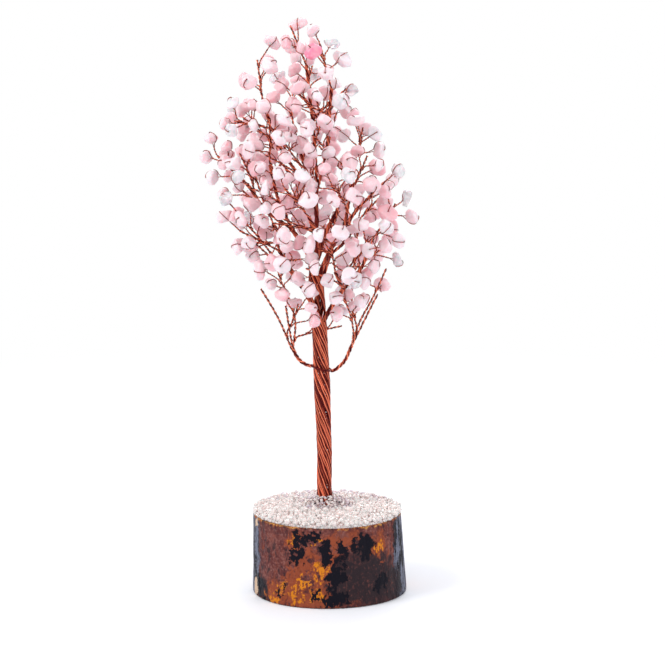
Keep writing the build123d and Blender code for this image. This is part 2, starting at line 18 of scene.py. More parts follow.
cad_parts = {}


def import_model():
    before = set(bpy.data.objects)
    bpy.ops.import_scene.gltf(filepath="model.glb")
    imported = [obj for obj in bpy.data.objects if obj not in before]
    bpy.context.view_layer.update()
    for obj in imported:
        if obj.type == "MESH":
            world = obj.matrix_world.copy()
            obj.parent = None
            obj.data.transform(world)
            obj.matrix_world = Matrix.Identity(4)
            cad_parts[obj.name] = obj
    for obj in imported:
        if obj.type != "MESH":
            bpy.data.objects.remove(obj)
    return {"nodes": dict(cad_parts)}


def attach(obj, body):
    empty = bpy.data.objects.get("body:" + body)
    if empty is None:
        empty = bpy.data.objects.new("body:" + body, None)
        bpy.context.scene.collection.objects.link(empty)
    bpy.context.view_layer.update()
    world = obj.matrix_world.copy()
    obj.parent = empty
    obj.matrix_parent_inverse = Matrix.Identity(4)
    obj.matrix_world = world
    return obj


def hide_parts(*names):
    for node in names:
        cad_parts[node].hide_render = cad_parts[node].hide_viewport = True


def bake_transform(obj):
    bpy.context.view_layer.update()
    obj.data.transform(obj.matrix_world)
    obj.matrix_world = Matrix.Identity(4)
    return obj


LOG = logging.getLogger("gemstone_tree")
METRE = 0.001
SLICE_HEIGHT = 35.5
UP = np.array([0.0, 0.0, 1.0])
GOLDEN_TURN = math.pi * (3.0 - math.sqrt(5.0))
CORNER_SHARE = 0.45
ARC_HALVINGS = 2
CORNER_SAMPLES = 7
TINY = 1e-9
STRAIGHT = 1e-6
PHASES = (0.0, 6.28)

Material = bpy.types.Material
Point = np.ndarray
Capsule = tuple[Point, Point, float]
Path = Union[list[Point], None]
Faces = list[tuple[int, ...]]
Shell = tuple[Point, Faces]
Pair = tuple[float, float]
Place = tuple[float, float, float]
Colour = tuple[float, float, float]


def unit(vector: Point) -> Point:
    """A vector of length one."""
    return vector / np.linalg.norm(vector)


def polar(azimuth: float) -> Point:
    """The level direction at an azimuth in degrees."""
    angle = math.radians(azimuth)
    return np.array([math.cos(angle), math.sin(angle), 0.0])


def crossed(first: Point, second: Point) -> Point:
    """Cross product of two vectors.

    Args:
        first: a vector.
        second: another vector.

    Returns:
        The product.
    """
    a, b, c = first
    d, e, f = second
    return np.array([b * f - c * e, c * d - a * f, a * e - b * d])


def row_dots(first: Point, second: Point) -> Point:
    """Dot products of the rows of two arrays."""
    return np.einsum("ij,ij->i", first, second)


def square_to(vector: Point, axis: Point) -> Point:
    """The part of a vector at right angles to an axis of length one."""
    return vector - axis * (vector @ axis)


def sides_of(direction: Point) -> tuple[Point, Point]:
    """Two directions at right angles to a direction.

    Args:
        direction: a direction of length one.

    Returns:
        The two directions.
    """
    helper = UP if abs(direction[2]) < 0.9 else np.array([1.0, 0.0, 0.0])
    side = unit(crossed(helper, direction))
    return side, crossed(direction, side)


def spun(direction: Point, spin: float) -> tuple[Point, Point]:
    """The two cross axes of a twig that is turned about its own direction.

    Args:
        direction: the twig's direction.
        spin: its turn, in radians.

    Returns:
        The axes.
    """
    side, other = sides_of(direction)
    across = side * math.cos(spin) + other * math.sin(spin)
    return across, crossed(direction, across)


def leaning(direction: Point, lean: float, turn: float) -> Point:
    """A direction that leans off another one."""
    side, other = sides_of(direction)
    return direction * math.cos(lean) + (side * math.cos(turn) + other * math.sin(turn)) * math.sin(lean)


def steps_between(low: float, high: float, step: float) -> list[float]:
    """Evenly spaced values from low to high, at most a step apart."""
    count = max(2, math.ceil((high - low) / step))
    return [low + (high - low) * index / count for index in range(count + 1)]


def point_along(points: Sequence[Point], share: float) -> tuple[Point, Point]:
    """Point and direction at a share of a path's length.

    Args:
        points: the path.
        share: how far along it, from 0 to 1.

    Returns:
        The point, and the path's direction there.
    """
    lengths = [np.linalg.norm(b - a) for a, b in zip(points, points[1:])]
    left = share * sum(lengths)
    for start, end, length in zip(points, points[1:], lengths):
        if left <= length:
            return start + (end - start) * left / length, unit(end - start)
        left = left - length
    return points[-1], unit(points[-1] - points[-2])


def capsules(points: Sequence[Point], diameter: float) -> list[Capsule]:
    """The runs of a wire as capsules."""
    return [(start, end, diameter / 2) for start, end in zip(points, points[1:])]


def corner_legs(before: Point, corner: Point, after: Point) -> tuple[Point, Point]:
    """Where the rounding of a corner begins and ends."""
    reach = CORNER_SHARE * min(np.linalg.norm(corner - before), np.linalg.norm(after - corner))
    return corner + unit(before - corner) * reach, corner + unit(after - corner) * reach


def arc_between(first: Point, corner: Point, last: Point, halvings: int) -> list[Point]:
    """Points of the arc that touches both legs of a corner.

    Args:
        first: where the arc begins.
        corner: the corner.
        last: where the arc ends.
        halvings: how often its turn is halved.

    Returns:
        Points of the arc, with both ends.
    """
    if halvings == 0:
        return [first, last]
    reach = np.linalg.norm(first - corner)
    kept = reach / (reach + np.linalg.norm(last - first) / 2)
    near = corner + (first - corner) * kept
    far = corner + (last - corner) * kept
    middle = (near + far) / 2
    return arc_between(first, near, middle, halvings - 1) + arc_between(middle, far, last, halvings - 1)[1:]


def eased(points: Sequence[Point]) -> list[Point]:
    """A path with points of an arc in place of each corner.

    Args:
        points: corners of the path.

    Returns:
        The path.
    """
    path = [points[0]]
    for before, corner, after in zip(points, points[1:], points[2:]):
        first, last = corner_legs(before, corner, after)
        path += arc_between(first, corner, last, ARC_HALVINGS)
    return path + [points[-1]]


@dataclass(frozen=True)
class RopePlan:
    """The trunk: strands laid left-handed round a core."""

    pitch: float = 50.0
    strand: float = 2.1
    core: float = 2.2
    gap: float = 0.12
    step: float = 3.1
    swell: float = 0.3
    swell_height: float = 92.0
    swell_reach: float = 13.0
    phase: float = 6.2
    strands: int = 6
    foot: float = 17.75
    heights: tuple[float, ...] = (17.0, 48.0, 62.0, 99.0, 118.0, 142.0, 166.0, 178.0)
    leans: tuple[float, ...] = (-0.9, -1.2, -1.1, -2.4, -3.3, -5.0, -4.4, -5.2)

    def lean(self, height: float) -> float:
        """Sideways place of the centre line at a height."""
        return float(np.interp(height, self.heights, self.leans))

    def radius(self, height: float) -> float:
        """Distance of the strands' centres from the centre line."""
        swell = self.swell * math.exp(-(((height - self.swell_height) / self.swell_reach) ** 2))
        return self.core / 2 + self.strand / 2 + self.gap + swell

    def azimuth(self, strand: float, height: float) -> float:
        """Where round the rope a strand is at a height, in degrees."""
        return self.phase + strand * 360.0 / self.strands - 360.0 * height / self.pitch

    def point(self, strand: float, height: float, proud: float = 0.0) -> Point:
        """A point of a strand's centre line, or of a wire that stands proud of it."""
        centre = np.array([self.lean(height), 0.0, height])
        return centre + polar(self.azimuth(strand, height)) * (self.radius(height) + proud)


@dataclass(frozen=True)
class WirePlan:
    """Sizes of the crown's wires and of the stones that they hold."""

    limb: float = 1.9
    branch: float = 1.4
    arm: float = 1.5
    arm_branch: float = 1.0
    stalk: float = 0.9
    twig: float = 0.6
    wire: float = 0.3
    clearance: float = 0.12
    root_clearance: float = 0.16
    root_free: float = 1.2
    hinge_gap: float = 0.4
    limb_run: Pair = (4.0, 7.0)
    fork_run: Pair = (9.6, 15.0)
    fork_gap: float = 0.35
    branch_sag_share: float = 0.10
    branch_bow: float = 1.5
    stalk_length: Pair = (16.0, 23.0)
    stalk_bow_share: float = 0.06
    chip: tuple[float, float, float] = (8.8, 6.8, 5.4)
    chip_bore: float = 1.0
    chip_facets: int = 18
    chip_seeds: tuple[int, ...] = (57, 72, 9, 56, 17, 7, 54, 32)
    loop_bend: float = 0.75
    loop_shoulder: float = 1.8
    neck_drop: float = 1.5
    twig_length: float = 5.4
    chip_size_shares: tuple[float, ...] = (1.0, 0.90, 1.05, 0.86, 1.12, 0.95, 1.0, 0.92)
    twig_length_shares: tuple[float, ...] = (0.80, 1.0, 1.25, 0.9, 1.1, 0.7, 1.35, 1.0)

    def root_offset(self, carrier: float, diameter: float, lean: float, at_end: bool) -> float:
        """Distance from its carrier's centre line, or from its end, at which a wire begins.

        Args:
            carrier: thickness of the wire that it leaves.
            diameter: its own.
            lean: angle between the two, in radians.
            at_end: whether it goes on from the carrier's end.

        Returns:
            The distance.
        """
        if at_end:
            return (self.root_clearance + diameter / 2 * math.sin(lean)) / math.cos(lean)
        return (carrier / 2 + self.root_clearance + diameter / 2 * math.cos(lean)) / math.sin(lean)

    def stem(self, pattern: int) -> float:
        """Length of a twig's stem."""
        return self.twig_length * self.twig_length_shares[pattern]

    def freed(self, run: Capsule) -> Capsule:
        """A wire's first capsule without the stretch beside its carrier."""
        start, end, radius = run
        return start + unit(end - start) * self.root_free, end, radius

    def twig_capsules(self, root: Point, direction: Point, spin: float, pattern: int) -> list[Capsule]:
        """The chip's space, the stem and the three runs of its loop.

        Args:
            root: where the twig begins.
            direction: where it points.
            spin: its turn about that direction.
            pattern: which chip it holds.

        Returns:
            The capsules, the chip's first.
        """
        across, sideways = spun(direction, spin)
        size = self.chip_size_shares[pattern]
        stem = self.stem(pattern)
        radius = self.chip[1] * size / 2 + self.clearance + self.wire
        half = max(self.chip[0] * size / 2 - radius, self.clearance)
        centre = root + direction * (stem + self.chip[2] * size / 2)
        chip = (centre - across * half, centre + across * half, radius)
        neck = root + direction * (stem - self.neck_drop)
        top = root + direction * (stem + self.chip[2] * size + self.loop_bend)
        reach = sideways * (self.chip[1] * size / 2 + self.clearance + self.wire / 2)
        tuck = self.loop_shoulder * (1 - math.sqrt(0.5))
        shoulder = top + reach - (sideways + direction) * tuck
        hip = root + direction * stem + reach
        loop = capsules([top, shoulder, hip, neck], self.wire + tuck)
        return [chip, (root, neck, self.twig / 2)] + loop


@dataclass(frozen=True)
class CrownPlan:
    """Outline of the crown, and the limbs, arms and sprigs that fill it."""

    foot_height: float = 118.0
    height: float = 122.0
    half_width: float = 41.0
    half_depth: float = 36.0
    outline_shares: tuple[tuple[float, float, float], ...] = (
        (0.00, 0.00, 0.30), (0.08, -0.02, 0.46), (0.16, -0.08, 0.68), (0.24, -0.10, 0.86),
        (0.33, -0.06, 0.90), (0.42, -0.10, 1.00), (0.50, -0.22, 0.98), (0.58, -0.27, 1.00),
        (0.66, -0.34, 0.90), (0.74, -0.34, 0.76), (0.82, -0.38, 0.68), (0.90, -0.38, 0.58),
        (1.00, -0.27, 0.40), (1.04, -0.26, 0.27), (1.08, -0.26, 0.14),
    )
    outline_foot_share: float = 0.04
    outside_weight: float = 25.0
    outline_reach_share: float = 1.03
    stalk_reach_share: float = 0.93
    limb_rows: tuple = (
        (2, 121.0, ((352, 0.60, 0.30), (292, 0.60, 0.22))),
        (0, 127.5, ((198, 0.62, 0.28), (150, 0.62, 0.36))),
        (5, 134.0, ((108, 0.62, 0.30), (48, 0.62, 0.36))),
        (4, 141.0, ((262, 0.62, 0.42), (322, 0.60, 0.50))),
        (3, 148.0, ((188, 0.62, 0.52), (236, 0.56, 0.60))),
        (1, 155.0, ((112, 0.56, 0.56), (14, 0.58, 0.58))),
    )
    leader_rows: tuple = ((200, 0.45, 0.80), (340, 0.72, 0.86), (92, 0.45, 0.70), (335, 0.26, 0.94))
    limb_swing: Pair = (-2.0, 8.0)
    arm_swing: Pair = (-2.0, 25.0)
    swing_step: float = 3.0
    wrap_height: float = 100.0
    wrap_tilt: float = 14.0
    wrap_diameter: float = 1.1
    arm_reach: float = 26.0
    arm_depth: float = 14.0
    arm_rise: float = 36.0
    left_arm_shares: tuple = (
        ((0.00, 0.00, 0.00), (-0.12, -0.05, 0.05), (-0.20, -0.10, 0.13), (-0.25, -0.14, 0.22)),
        (
            ((-0.46, -0.28, 0.56), (-0.64, -0.36, 0.80), (-0.78, -0.44, 0.97)),
            ((-0.32, -0.66, 0.56), (-0.36, -1.00, 0.80)),
            ((-0.20, 0.44, 0.50), (-0.30, 0.80, 0.74)),
        ),
    )
    right_arm_shares: tuple = (
        ((0.00, 0.00, 0.00), (0.17, -0.05, 0.11), (0.28, -0.10, 0.31)),
        (
            ((0.40, -0.34, 0.61), (0.60, -0.54, 0.88)),
            ((0.51, 0.26, 0.62), (0.72, 0.56, 0.90)),
        ),
    )
    sprigs_per_branch: int = 4
    sprigs_per_leader: int = 5
    sprigs_per_arm_branch: int = 2
    chips_per_sprig: int = 8
    stalk_trials: int = 34
    chip_trials: int = 50
    spread_share: float = 0.30
    stalk_spread_share: float = 0.75
    layout_seed: int = 11
    first_sprig_share: float = 0.22
    last_sprig_share: float = 0.92
    first_chip_share: float = 0.30
    end_stalk_leans: Pair = (4, 20)
    side_stalk_leans: Pair = (28, 75)
    end_twig_leans: Pair = (4, 30)
    side_twig_leans: Pair = (38, 80)
    stalk_lowest_share: float = -0.15
    twig_lowest_share: float = -0.35

    def section(self, height: float) -> tuple[float, float, float]:
        """Centre, half width and half depth of the crown at a height.

        Args:
            height: height over the floor.

        Returns:
            Centre, half width and half depth.
        """
        share = (height - self.foot_height) / self.height
        shares = [row[0] for row in self.outline_shares]
        centre = np.interp(share, shares, [row[1] for row in self.outline_shares])
        wide = np.interp(share, shares, [row[2] for row in self.outline_shares])
        return centre * self.half_width, wide * self.half_width, wide * self.half_depth

    def reach(self, point: Point) -> float:
        """How far out in the crown a point is: 1 on the outline.

        Args:
            point: the point.

        Returns:
            0 on the crown's middle line, 1 on its outline.
        """
        centre, half_width, half_depth = self.section(point[2])
        share = (point[2] - self.foot_height) / self.height
        outside = max(0.0, -share - self.outline_foot_share, share - self.outline_shares[-1][0])
        across = math.hypot((point[0] - centre) / half_width, point[1] / half_depth)
        return across + outside * self.outside_weight


@dataclass(frozen=True)
class Hinge:
    """Where a limb bends: a place, an axis and its swing in radians."""

    place: Point
    axis: Point
    low: float
    high: float

    def turned(self, items: Iterable[Capsule], angle: float) -> list[Capsule]:
        """Capsules turned about the hinge.

        Args:
            items: the capsules.
            angle: how far, in radians.

        Returns:
            The turned capsules.
        """
        x, y, z = self.axis * math.sin(angle)
        skew = np.array([[0.0, -z, y], [z, 0.0, -x], [-y, x, 0.0]])
        turn = np.eye(3) * math.cos(angle) + skew + np.outer(self.axis, self.axis) * (1.0 - math.cos(angle))
        moved = []
        for start, end, radius in items:
            first = self.place + turn @ (start - self.place)
            moved.append((first, self.place + turn @ (end - self.place), radius))
        return moved


@dataclass
class Space:
    """Capsules that are already placed, with the body that each belongs to."""

    near_reach: float
    starts: Point = field(default_factory=lambda: np.zeros((0, 3)))
    ends: Point = field(default_factory=lambda: np.zeros((0, 3)))
    middles: Point = field(default_factory=lambda: np.zeros((0, 3)))
    radii: Point = field(default_factory=lambda: np.zeros(0))
    reaches: Point = field(default_factory=lambda: np.zeros(0))
    bodies: Point = field(default_factory=lambda: np.zeros(0, int))

    def add(self, items: Sequence[Capsule], body: int) -> None:
        """Place some capsules of a body.

        Args:
            items: the capsules.
            body: number of their body.
        """
        self.starts = np.vstack([self.starts] + [item[0] for item in items])
        self.ends = np.vstack([self.ends] + [item[1] for item in items])
        self.middles = (self.starts + self.ends) / 2
        self.radii = np.concatenate([self.radii, [item[2] for item in items]])
        runs = self.ends - self.starts
        self.reaches = np.sqrt(row_dots(runs, runs)) / 2 + self.radii
        self.bodies = np.concatenate([self.bodies, [body] * len(items)])

    def gap(self, item: Capsule, apart_from: Union[int, None] = None) -> float:
        """Least gap of one capsule to the near ones among those placed, apart from one body's.

        Args:
            item: the capsule.
            apart_from: a body whose capsules don't count.

        Returns:
            The gap, below zero for an overlap.
        """
        start, end, radius = item
        run = end - start
        own = max(run @ run, TINY)
        away = self.middles - (start + end) / 2
        reach = math.sqrt(own) / 2 + radius + self.near_reach
        near = row_dots(away, away) < (self.reaches + reach) ** 2
        if apart_from is not None:
            near = near & (self.bodies != apart_from)
        near = near.nonzero()[0]
        if not len(near):
            return math.inf
        first = self.starts[near]
        runs = self.ends[near] - first
        offset = start - first
        theirs = np.maximum(row_dots(runs, runs), TINY)
        along = row_dots(runs, offset)
        slip = offset @ run
        both = runs @ run
        crossing = np.maximum(own * theirs - both * both, TINY)
        share = np.minimum(np.maximum((both * along - slip * theirs) / crossing, 0.0), 1.0)
        other = np.minimum(np.maximum((both * share + along) / theirs, 0.0), 1.0)
        share = np.minimum(np.maximum((both * other - slip) / own, 0.0), 1.0)
        apart = offset + share[:, None] * run - other[:, None] * runs
        return (np.sqrt(row_dots(apart, apart)) - radius - self.radii[near]).min()


class Lay(Enum):
    """How a bundle is twisted: number of wires, length of a turn, and a wire's share of the bundle."""

    LIMB = (4, 9.0, 0.45)
    ARM = (3, 7.0, 0.48)
    BRANCH = (3, 6.0, 0.48)
    ARM_BRANCH = (2, 4.6, 0.54)
    STALK = (2, 3.6, 0.54)


@dataclass(frozen=True)
class Wire:
    """One bundle of wires: its lay, its body, its path, its thickness and what it leaves from."""

    lay: Lay
    body: int
    points: list[Point]
    diameter: float
    base: Union[Point, None] = None
    carrier: Union[Point, None] = None


@dataclass(frozen=True)
class Twig:
    """One twig: body, root, direction, spin and pattern, and the stalk's point and direction at its foot."""

    body: int
    root: Point
    direction: Point
    spin: float
    pattern: int
    base: Point
    carrier: Point


class Crown:
    """All wires and chips above the base, in the places that the frame's solids have."""

    def __init__(self, rope: RopePlan, wires: WirePlan, plan: CrownPlan) -> None:
        """Start an empty crown.

        Args:
            rope: the trunk's rope.
            wires: sizes of wires and chips.
            plan: outline and limbs.
        """
        self.rope = rope
        self.sizes = wires
        self.plan = plan
        self.wires: list[Wire] = []
        self.twigs: list[Twig] = []
        self.hinges: dict[int, Hinge] = {}
        near = wires.chip[0] * plan.stalk_spread_share
        self.at_rest, self.swung = Space(near), Space(near)
        self.all_in, self.all_out = Space(near), Space(near)
        self.random = random.Random(plan.layout_seed)
        self.names = ["trunk"]

    def swings(self, body: int) -> list[float]:
        """The angles besides rest at which a body is kept clear."""
        hinge, step = self.hinges[body], math.radians(self.plan.swing_step)
        return [hinge.high, hinge.low] + steps_between(0.0, hinge.high, step)[1:-1]

    def gap(self, items: Sequence[Capsule], body: int) -> float:
        """Least gap of some capsules to all others, or the first one that is too small.

        Args:
            items: the capsules.
            body: number of their body.

        Returns:
            The gap at rest and over the swing.
        """
        least = math.inf
        need = self.sizes.clearance
        for item in items:
            least = min(least, self.at_rest.gap(item))
            if least < need:
                return least
            least = min(least, self.swung.gap(item, body))
            if least < need:
                return least
        if body in self.hinges:
            hinge = self.hinges[body]
            for angle in self.swings(body):
                for item in hinge.turned(items, angle):
                    least = min(least, self.at_rest.gap(item, body))
                    if angle == hinge.low:
                        least = min(least, self.all_in.gap(item, body))
                    if angle == hinge.high:
                        least = min(least, self.all_out.gap(item, body))
                    if least < need:
                        return least
        return least

    def keep(self, items: Sequence[Capsule], body: int) -> None:
        """Place capsules for good, at rest and over the swing.

        Args:
            items: the capsules.
            body: number of their body.
        """
        self.at_rest.add(items, body)
        if body in self.hinges:
            hinge = self.hinges[body]
            for angle in self.swings(body):
                self.swung.add(hinge.turned(items, angle), body)
            self.all_in.add(hinge.turned(items, hinge.low), body)
            self.all_out.add(hinge.turned(items, hinge.high), body)

    def wire(self, lay: Lay, body: int, points: list[Point], diameter: float, foot: tuple = ()) -> None:
        """Place one bundle of wires."""
        self.wires.append(Wire(lay, body, points, diameter, *foot))
        self.keep(capsules(eased(points), diameter), body)

    def hinge(self, body: int, place: Point, azimuth: float, swing: Pair) -> None:
        """Give a body its hinge."""
        axis = crossed(UP, polar(azimuth))
        self.hinges[body] = Hinge(place, axis, math.radians(swing[0]), math.radians(swing[1]))

    def fork_starts(self, wire: Sequence[Point], tips: Sequence[Point], diameter: float) -> list[Point]:
        """Where the branches at the end of a wire begin, side by side on its face.

        Args:
            wire: path of the wire.
            tips: where the branches lead.
            diameter: thickness of a branch.

        Returns:
            The first point of each branch.
        """
        end = wire[-1]
        direction = unit(wire[-1] - wire[-2])
        middle = sum(tips) / len(tips)
        spread = (diameter + self.sizes.clearance) / 2 / math.sin(math.pi / len(tips))
        starts = []
        for tip in tips:
            aside = unit(square_to(tip - middle, direction))
            starts.append(end + direction * self.sizes.fork_gap + aside * spread)
        return starts

    def branch_paths(self, wire: Sequence[Point], rows: Sequence[tuple]) -> list[list[Point]]:
        """Paths from the end of a wire to the tips that the rows give.

        Args:
            wire: path of the wire.
            rows: azimuth, reach and rise of each tip.

        Returns:
            The path of each branch.
        """
        tips = []
        for azimuth, reach, rise in rows:
            height = self.plan.foot_height + rise * self.plan.height
            centre, half_width, half_depth = self.plan.section(height)
            outward = polar(azimuth) * reach
            tips.append(np.array([centre + half_width * outward[0], half_depth * outward[1], height]))
        paths = []
        for row, tip, first in zip(rows, tips, self.fork_starts(wire, tips, self.sizes.branch)):
            length = np.linalg.norm(tip - first)
            sag = UP * self.sizes.branch_sag_share * length
            middle = (first + tip) / 2 - sag + polar(row[0]) * self.sizes.branch_bow
            paths.append([first, middle, tip])
        return paths

    def grow_stalk(self, body: int, path: list[Point], diameter: float, share: float) -> Path:
        """Best free path of a new stalk at a share of a branch.

        Args:
            body: number of the body.
            path: the branch.
            diameter: thickness of the branch.
            share: how far along it.

        Returns:
            The stalk's path, or None where no place is free.
        """
        last = share == 1.0
        plan, sizes = self.plan, self.sizes
        root, direction = point_along(path, share)
        length = self.random.uniform(*sizes.stalk_length)
        best, best_score = None, -math.inf
        for _ in range(plan.stalk_trials):
            leans = plan.end_stalk_leans if last else plan.side_stalk_leans
            lean = math.radians(self.random.uniform(*leans))
            way = leaning(direction, lean, self.random.uniform(0, 2 * math.pi))
            start = root + way * sizes.root_offset(diameter, sizes.stalk, lean, last)
            bow = sides_of(way)[0] * length * sizes.stalk_bow_share
            stalk = [start, start + way * length / 2 + bow, start + way * length]
            reach = plan.reach(stalk[-1])
            if way[2] < plan.stalk_lowest_share or reach > plan.stalk_reach_share:
                continue
            runs = capsules(eased(stalk), sizes.stalk)
            gap = self.gap([sizes.freed(runs[0])] + runs[1:], body)
            if gap < sizes.clearance:
                continue
            score = min(gap / (sizes.chip[0] * plan.stalk_spread_share), 1.0) + reach / 2
            if score > best_score:
                best, best_score = stalk, score
        return best

    def hang_chip(self, body: int, path: list[Point], share: float) -> None:
        """Hang a twig with its chip in the best free place at a share of a stalk.

        Args:
            body: number of the body.
            path: the stalk.
            share: how far along it.
        """
        last = share == 1.0
        plan, sizes = self.plan, self.sizes
        base, direction = point_along(path, share)
        best, best_score = None, -math.inf
        for _ in range(plan.chip_trials):
            leans = plan.end_twig_leans if last else plan.side_twig_leans
            lean = math.radians(self.random.uniform(*leans))
            way = leaning(direction, lean, self.random.uniform(0, 2 * math.pi))
            pattern = self.random.randrange(len(sizes.chip_size_shares))
            spin = self.random.uniform(0, 2 * math.pi)
            root = base + way * sizes.root_offset(sizes.stalk, sizes.twig, lean, last)
            chip, stem, *loop = sizes.twig_capsules(root, way, spin, pattern)
            reach = plan.reach((chip[0] + chip[1]) / 2)
            if way[2] < plan.twig_lowest_share or reach > plan.outline_reach_share:
                continue
            gap = self.gap([chip], body)
            if gap < sizes.clearance or self.gap([sizes.freed(stem)] + loop, body) < sizes.clearance:
                continue
            score = min(gap / (sizes.chip[0] * plan.spread_share), 1.0) + reach / 2
            if score > best_score:
                best, best_score = Twig(body, root, way, spin, pattern, base, direction), score
        if best is not None:
            self.twigs.append(best)
            self.keep(sizes.twig_capsules(best.root, best.direction, best.spin, best.pattern), body)

    def chip_middle(self, twig: Twig) -> Point:
        """The middle of a twig's chip.

        Args:
            twig: the twig.

        Returns:
            The point.
        """
        sizes = self.sizes
        size = sizes.chip_size_shares[twig.pattern]
        return twig.root + twig.direction * (sizes.stem(twig.pattern) + sizes.chip[2] * size / 2)

    def grow_sprigs(self, branches: Sequence[tuple]) -> None:
        """A stalk with its chips at each place of each branch, the outermost ones first.

        Args:
            branches: body, path, thickness and number of stalks of each branch.
        """
        plan = self.plan
        places = []
        for number, (body, path, diameter, count) in enumerate(branches):
            for index in range(count):
                gap = plan.last_sprig_share - plan.first_sprig_share
                share = 1.0 if index == count - 1 else plan.first_sprig_share + gap * index / (count - 1)
                places.append((-index, number, body, path, diameter, share))
        places.sort(key=lambda place: place[:2])
        for _, _, body, path, diameter, share in places:
            stalk = self.grow_stalk(body, path, diameter, share)
            if stalk is None:
                continue
            self.wire(Lay.STALK, body, stalk, self.sizes.stalk, point_along(path, share))
            for chip_share in np.linspace(plan.first_chip_share, 1.0, plan.chips_per_sprig):
                self.hang_chip(body, eased(stalk), chip_share)

    def wrap_radius(self) -> float:
        """Radius of the wrap's centre line, which clears the rope where the wrap is tilted.

        Returns:
            The radius.
        """
        rope = self.rope.radius(self.plan.wrap_height) + self.rope.strand / 2
        reach = rope + self.sizes.clearance + self.plan.wrap_diameter / 2
        return reach / math.cos(math.radians(self.plan.wrap_tilt))

    def arm_points(self, start: Point, shares: Sequence[tuple]) -> list[Point]:
        """Points of a side arm, measured from its start.

        Args:
            start: where the arm begins.
            shares: its points as shares.

        Returns:
            The points.
        """
        plan = self.plan
        scale = (plan.arm_reach, plan.arm_depth, plan.arm_rise)
        return [start + np.array([row[k] * scale[k] for k in range(3)]) for row in shares]

    def arm_start(self, side: int) -> Point:
        """Where an arm leaves the wrap.

        Args:
            side: -1 for the left arm and 1 for the right one.

        Returns:
            The point.
        """
        plan = self.plan
        slope = math.radians(plan.wrap_tilt)
        reach = self.wrap_radius() * math.cos(slope) + plan.wrap_diameter / 2 + self.sizes.arm / 2
        reach = reach + self.sizes.hinge_gap
        rise = self.wrap_radius() * math.sin(slope)
        lean = self.rope.lean(plan.wrap_height)
        return np.array([lean + side * reach, 0.0, plan.wrap_height - side * rise])

    def lay_out(self) -> None:
        """Trunk, limbs, arms, branches, sprigs and chips, in the order in which they claim their space."""
        plan, rope, sizes = self.plan, self.rope, self.sizes
        thick = rope.radius(rope.swell_height) * 2 + rope.strand
        first_leave = plan.limb_rows[0][1]
        heights = steps_between(SLICE_HEIGHT, first_leave, rope.step)
        self.keep(capsules([np.array([rope.lean(z), 0.0, z]) for z in heights], thick), 0)
        for row in plan.limb_rows[1:]:
            heights = steps_between(first_leave, row[1], rope.step)
            self.keep(capsules([rope.point(row[0], z) for z in heights], rope.strand), 0)
        heights = steps_between(first_leave, rope.heights[-1], rope.step)
        leader = [np.array([rope.lean(z), 0.0, z]) for z in heights]
        self.keep(capsules(leader, rope.core), 0)
        branches = []
        for number, (strand, height, rows) in enumerate(plan.limb_rows, 1):
            self.names.append(f"limb_{number}")
            azimuth = rope.azimuth(strand, height)
            start = rope.point(strand, height)
            outward = polar(azimuth)
            fork = start + outward * sizes.fork_run[0] + UP * sizes.fork_run[1]
            self.hinge(number, start, azimuth, plan.limb_swing)
            bend = start + outward * sizes.limb_run[0] + UP * sizes.limb_run[1]
            self.wire(Lay.LIMB, number, [start, bend, fork], sizes.limb)
            for path in self.branch_paths([start, fork], rows):
                self.wire(Lay.BRANCH, number, path, sizes.branch, (fork, unit(fork - bend)))
                branches.append((number, eased(path), sizes.branch, plan.sprigs_per_branch))
        for path in self.branch_paths(leader, plan.leader_rows):
            self.wire(Lay.BRANCH, 0, path, sizes.branch, (leader[-1], unit(leader[-1] - leader[-2])))
            branches.append((0, eased(path), sizes.branch, plan.sprigs_per_leader))
        arms = (("left_arm", -1, plan.left_arm_shares), ("right_arm", 1, plan.right_arm_shares))
        for name, side, (run, forks) in arms:
            body = len(self.names)
            self.names.append(name)
            start = self.arm_start(side)
            self.hinge(body, start, 90.0 - 90.0 * side, plan.arm_swing)
            arm = self.arm_points(start, run)
            self.wire(Lay.ARM, body, arm, sizes.arm)
            paths = [self.arm_points(start, shares) for shares in forks]
            firsts = self.fork_starts(arm, [path[0] for path in paths], sizes.arm_branch)
            for first, path in zip(firsts, paths):
                path = [first] + path
                self.wire(Lay.ARM_BRANCH, body, path, sizes.arm_branch, (arm[-1], unit(arm[-1] - arm[-2])))
                branches.append((body, eased(path), sizes.arm_branch, plan.sprigs_per_arm_branch))
        self.grow_sprigs(branches)


def lengths_along(path: Point) -> Point:
    """How far along a path each of its points is."""
    return np.concatenate([[0.0], np.cumsum(np.linalg.norm(np.diff(path, axis=0), axis=1))])


def rounded(points: Sequence[Point], step: float) -> Point:
    """Samples of a path with its corners rounded.

    Args:
        points: corners of the path.
        step: about how far apart the samples are.

    Returns:
        The samples, one row each.
    """
    points = [np.asarray(point, float) for point in points]
    samples = [points[0]]
    for before, corner, after in zip(points, points[1:], points[2:]):
        first, last = corner_legs(before, corner, after)
        for t in np.linspace(0.0, 1.0, CORNER_SAMPLES):
            samples.append(first * (1 - t) ** 2 + corner * 2 * t * (1 - t) + last * t * t)
    samples.append(points[-1])
    dense = np.array(samples)
    lengths = lengths_along(dense)
    count = max(3, int(math.ceil(lengths[-1] / step)) + 1)
    places = np.linspace(0.0, lengths[-1], count)
    return np.stack([np.interp(places, lengths, dense[:, k]) for k in range(3)], axis=1)


def frames_along(path: Point) -> tuple[Point, Point, Point]:
    """Tangents and two sides of a path that turn as little as they can.

    Args:
        path: points of the path, one row each.

    Returns:
        Tangents, sides and other sides, one row each.
    """
    tangents = np.gradient(path, axis=0)
    tangents /= np.maximum(np.linalg.norm(tangents, axis=1), TINY)[:, None]
    side, _ = sides_of(tangents[0])
    sides = []
    for tangent in tangents:
        side = unit(square_to(side, tangent))
        sides.append(side)
    sides = np.array(sides)
    return tangents, sides, np.cross(tangents, sides)


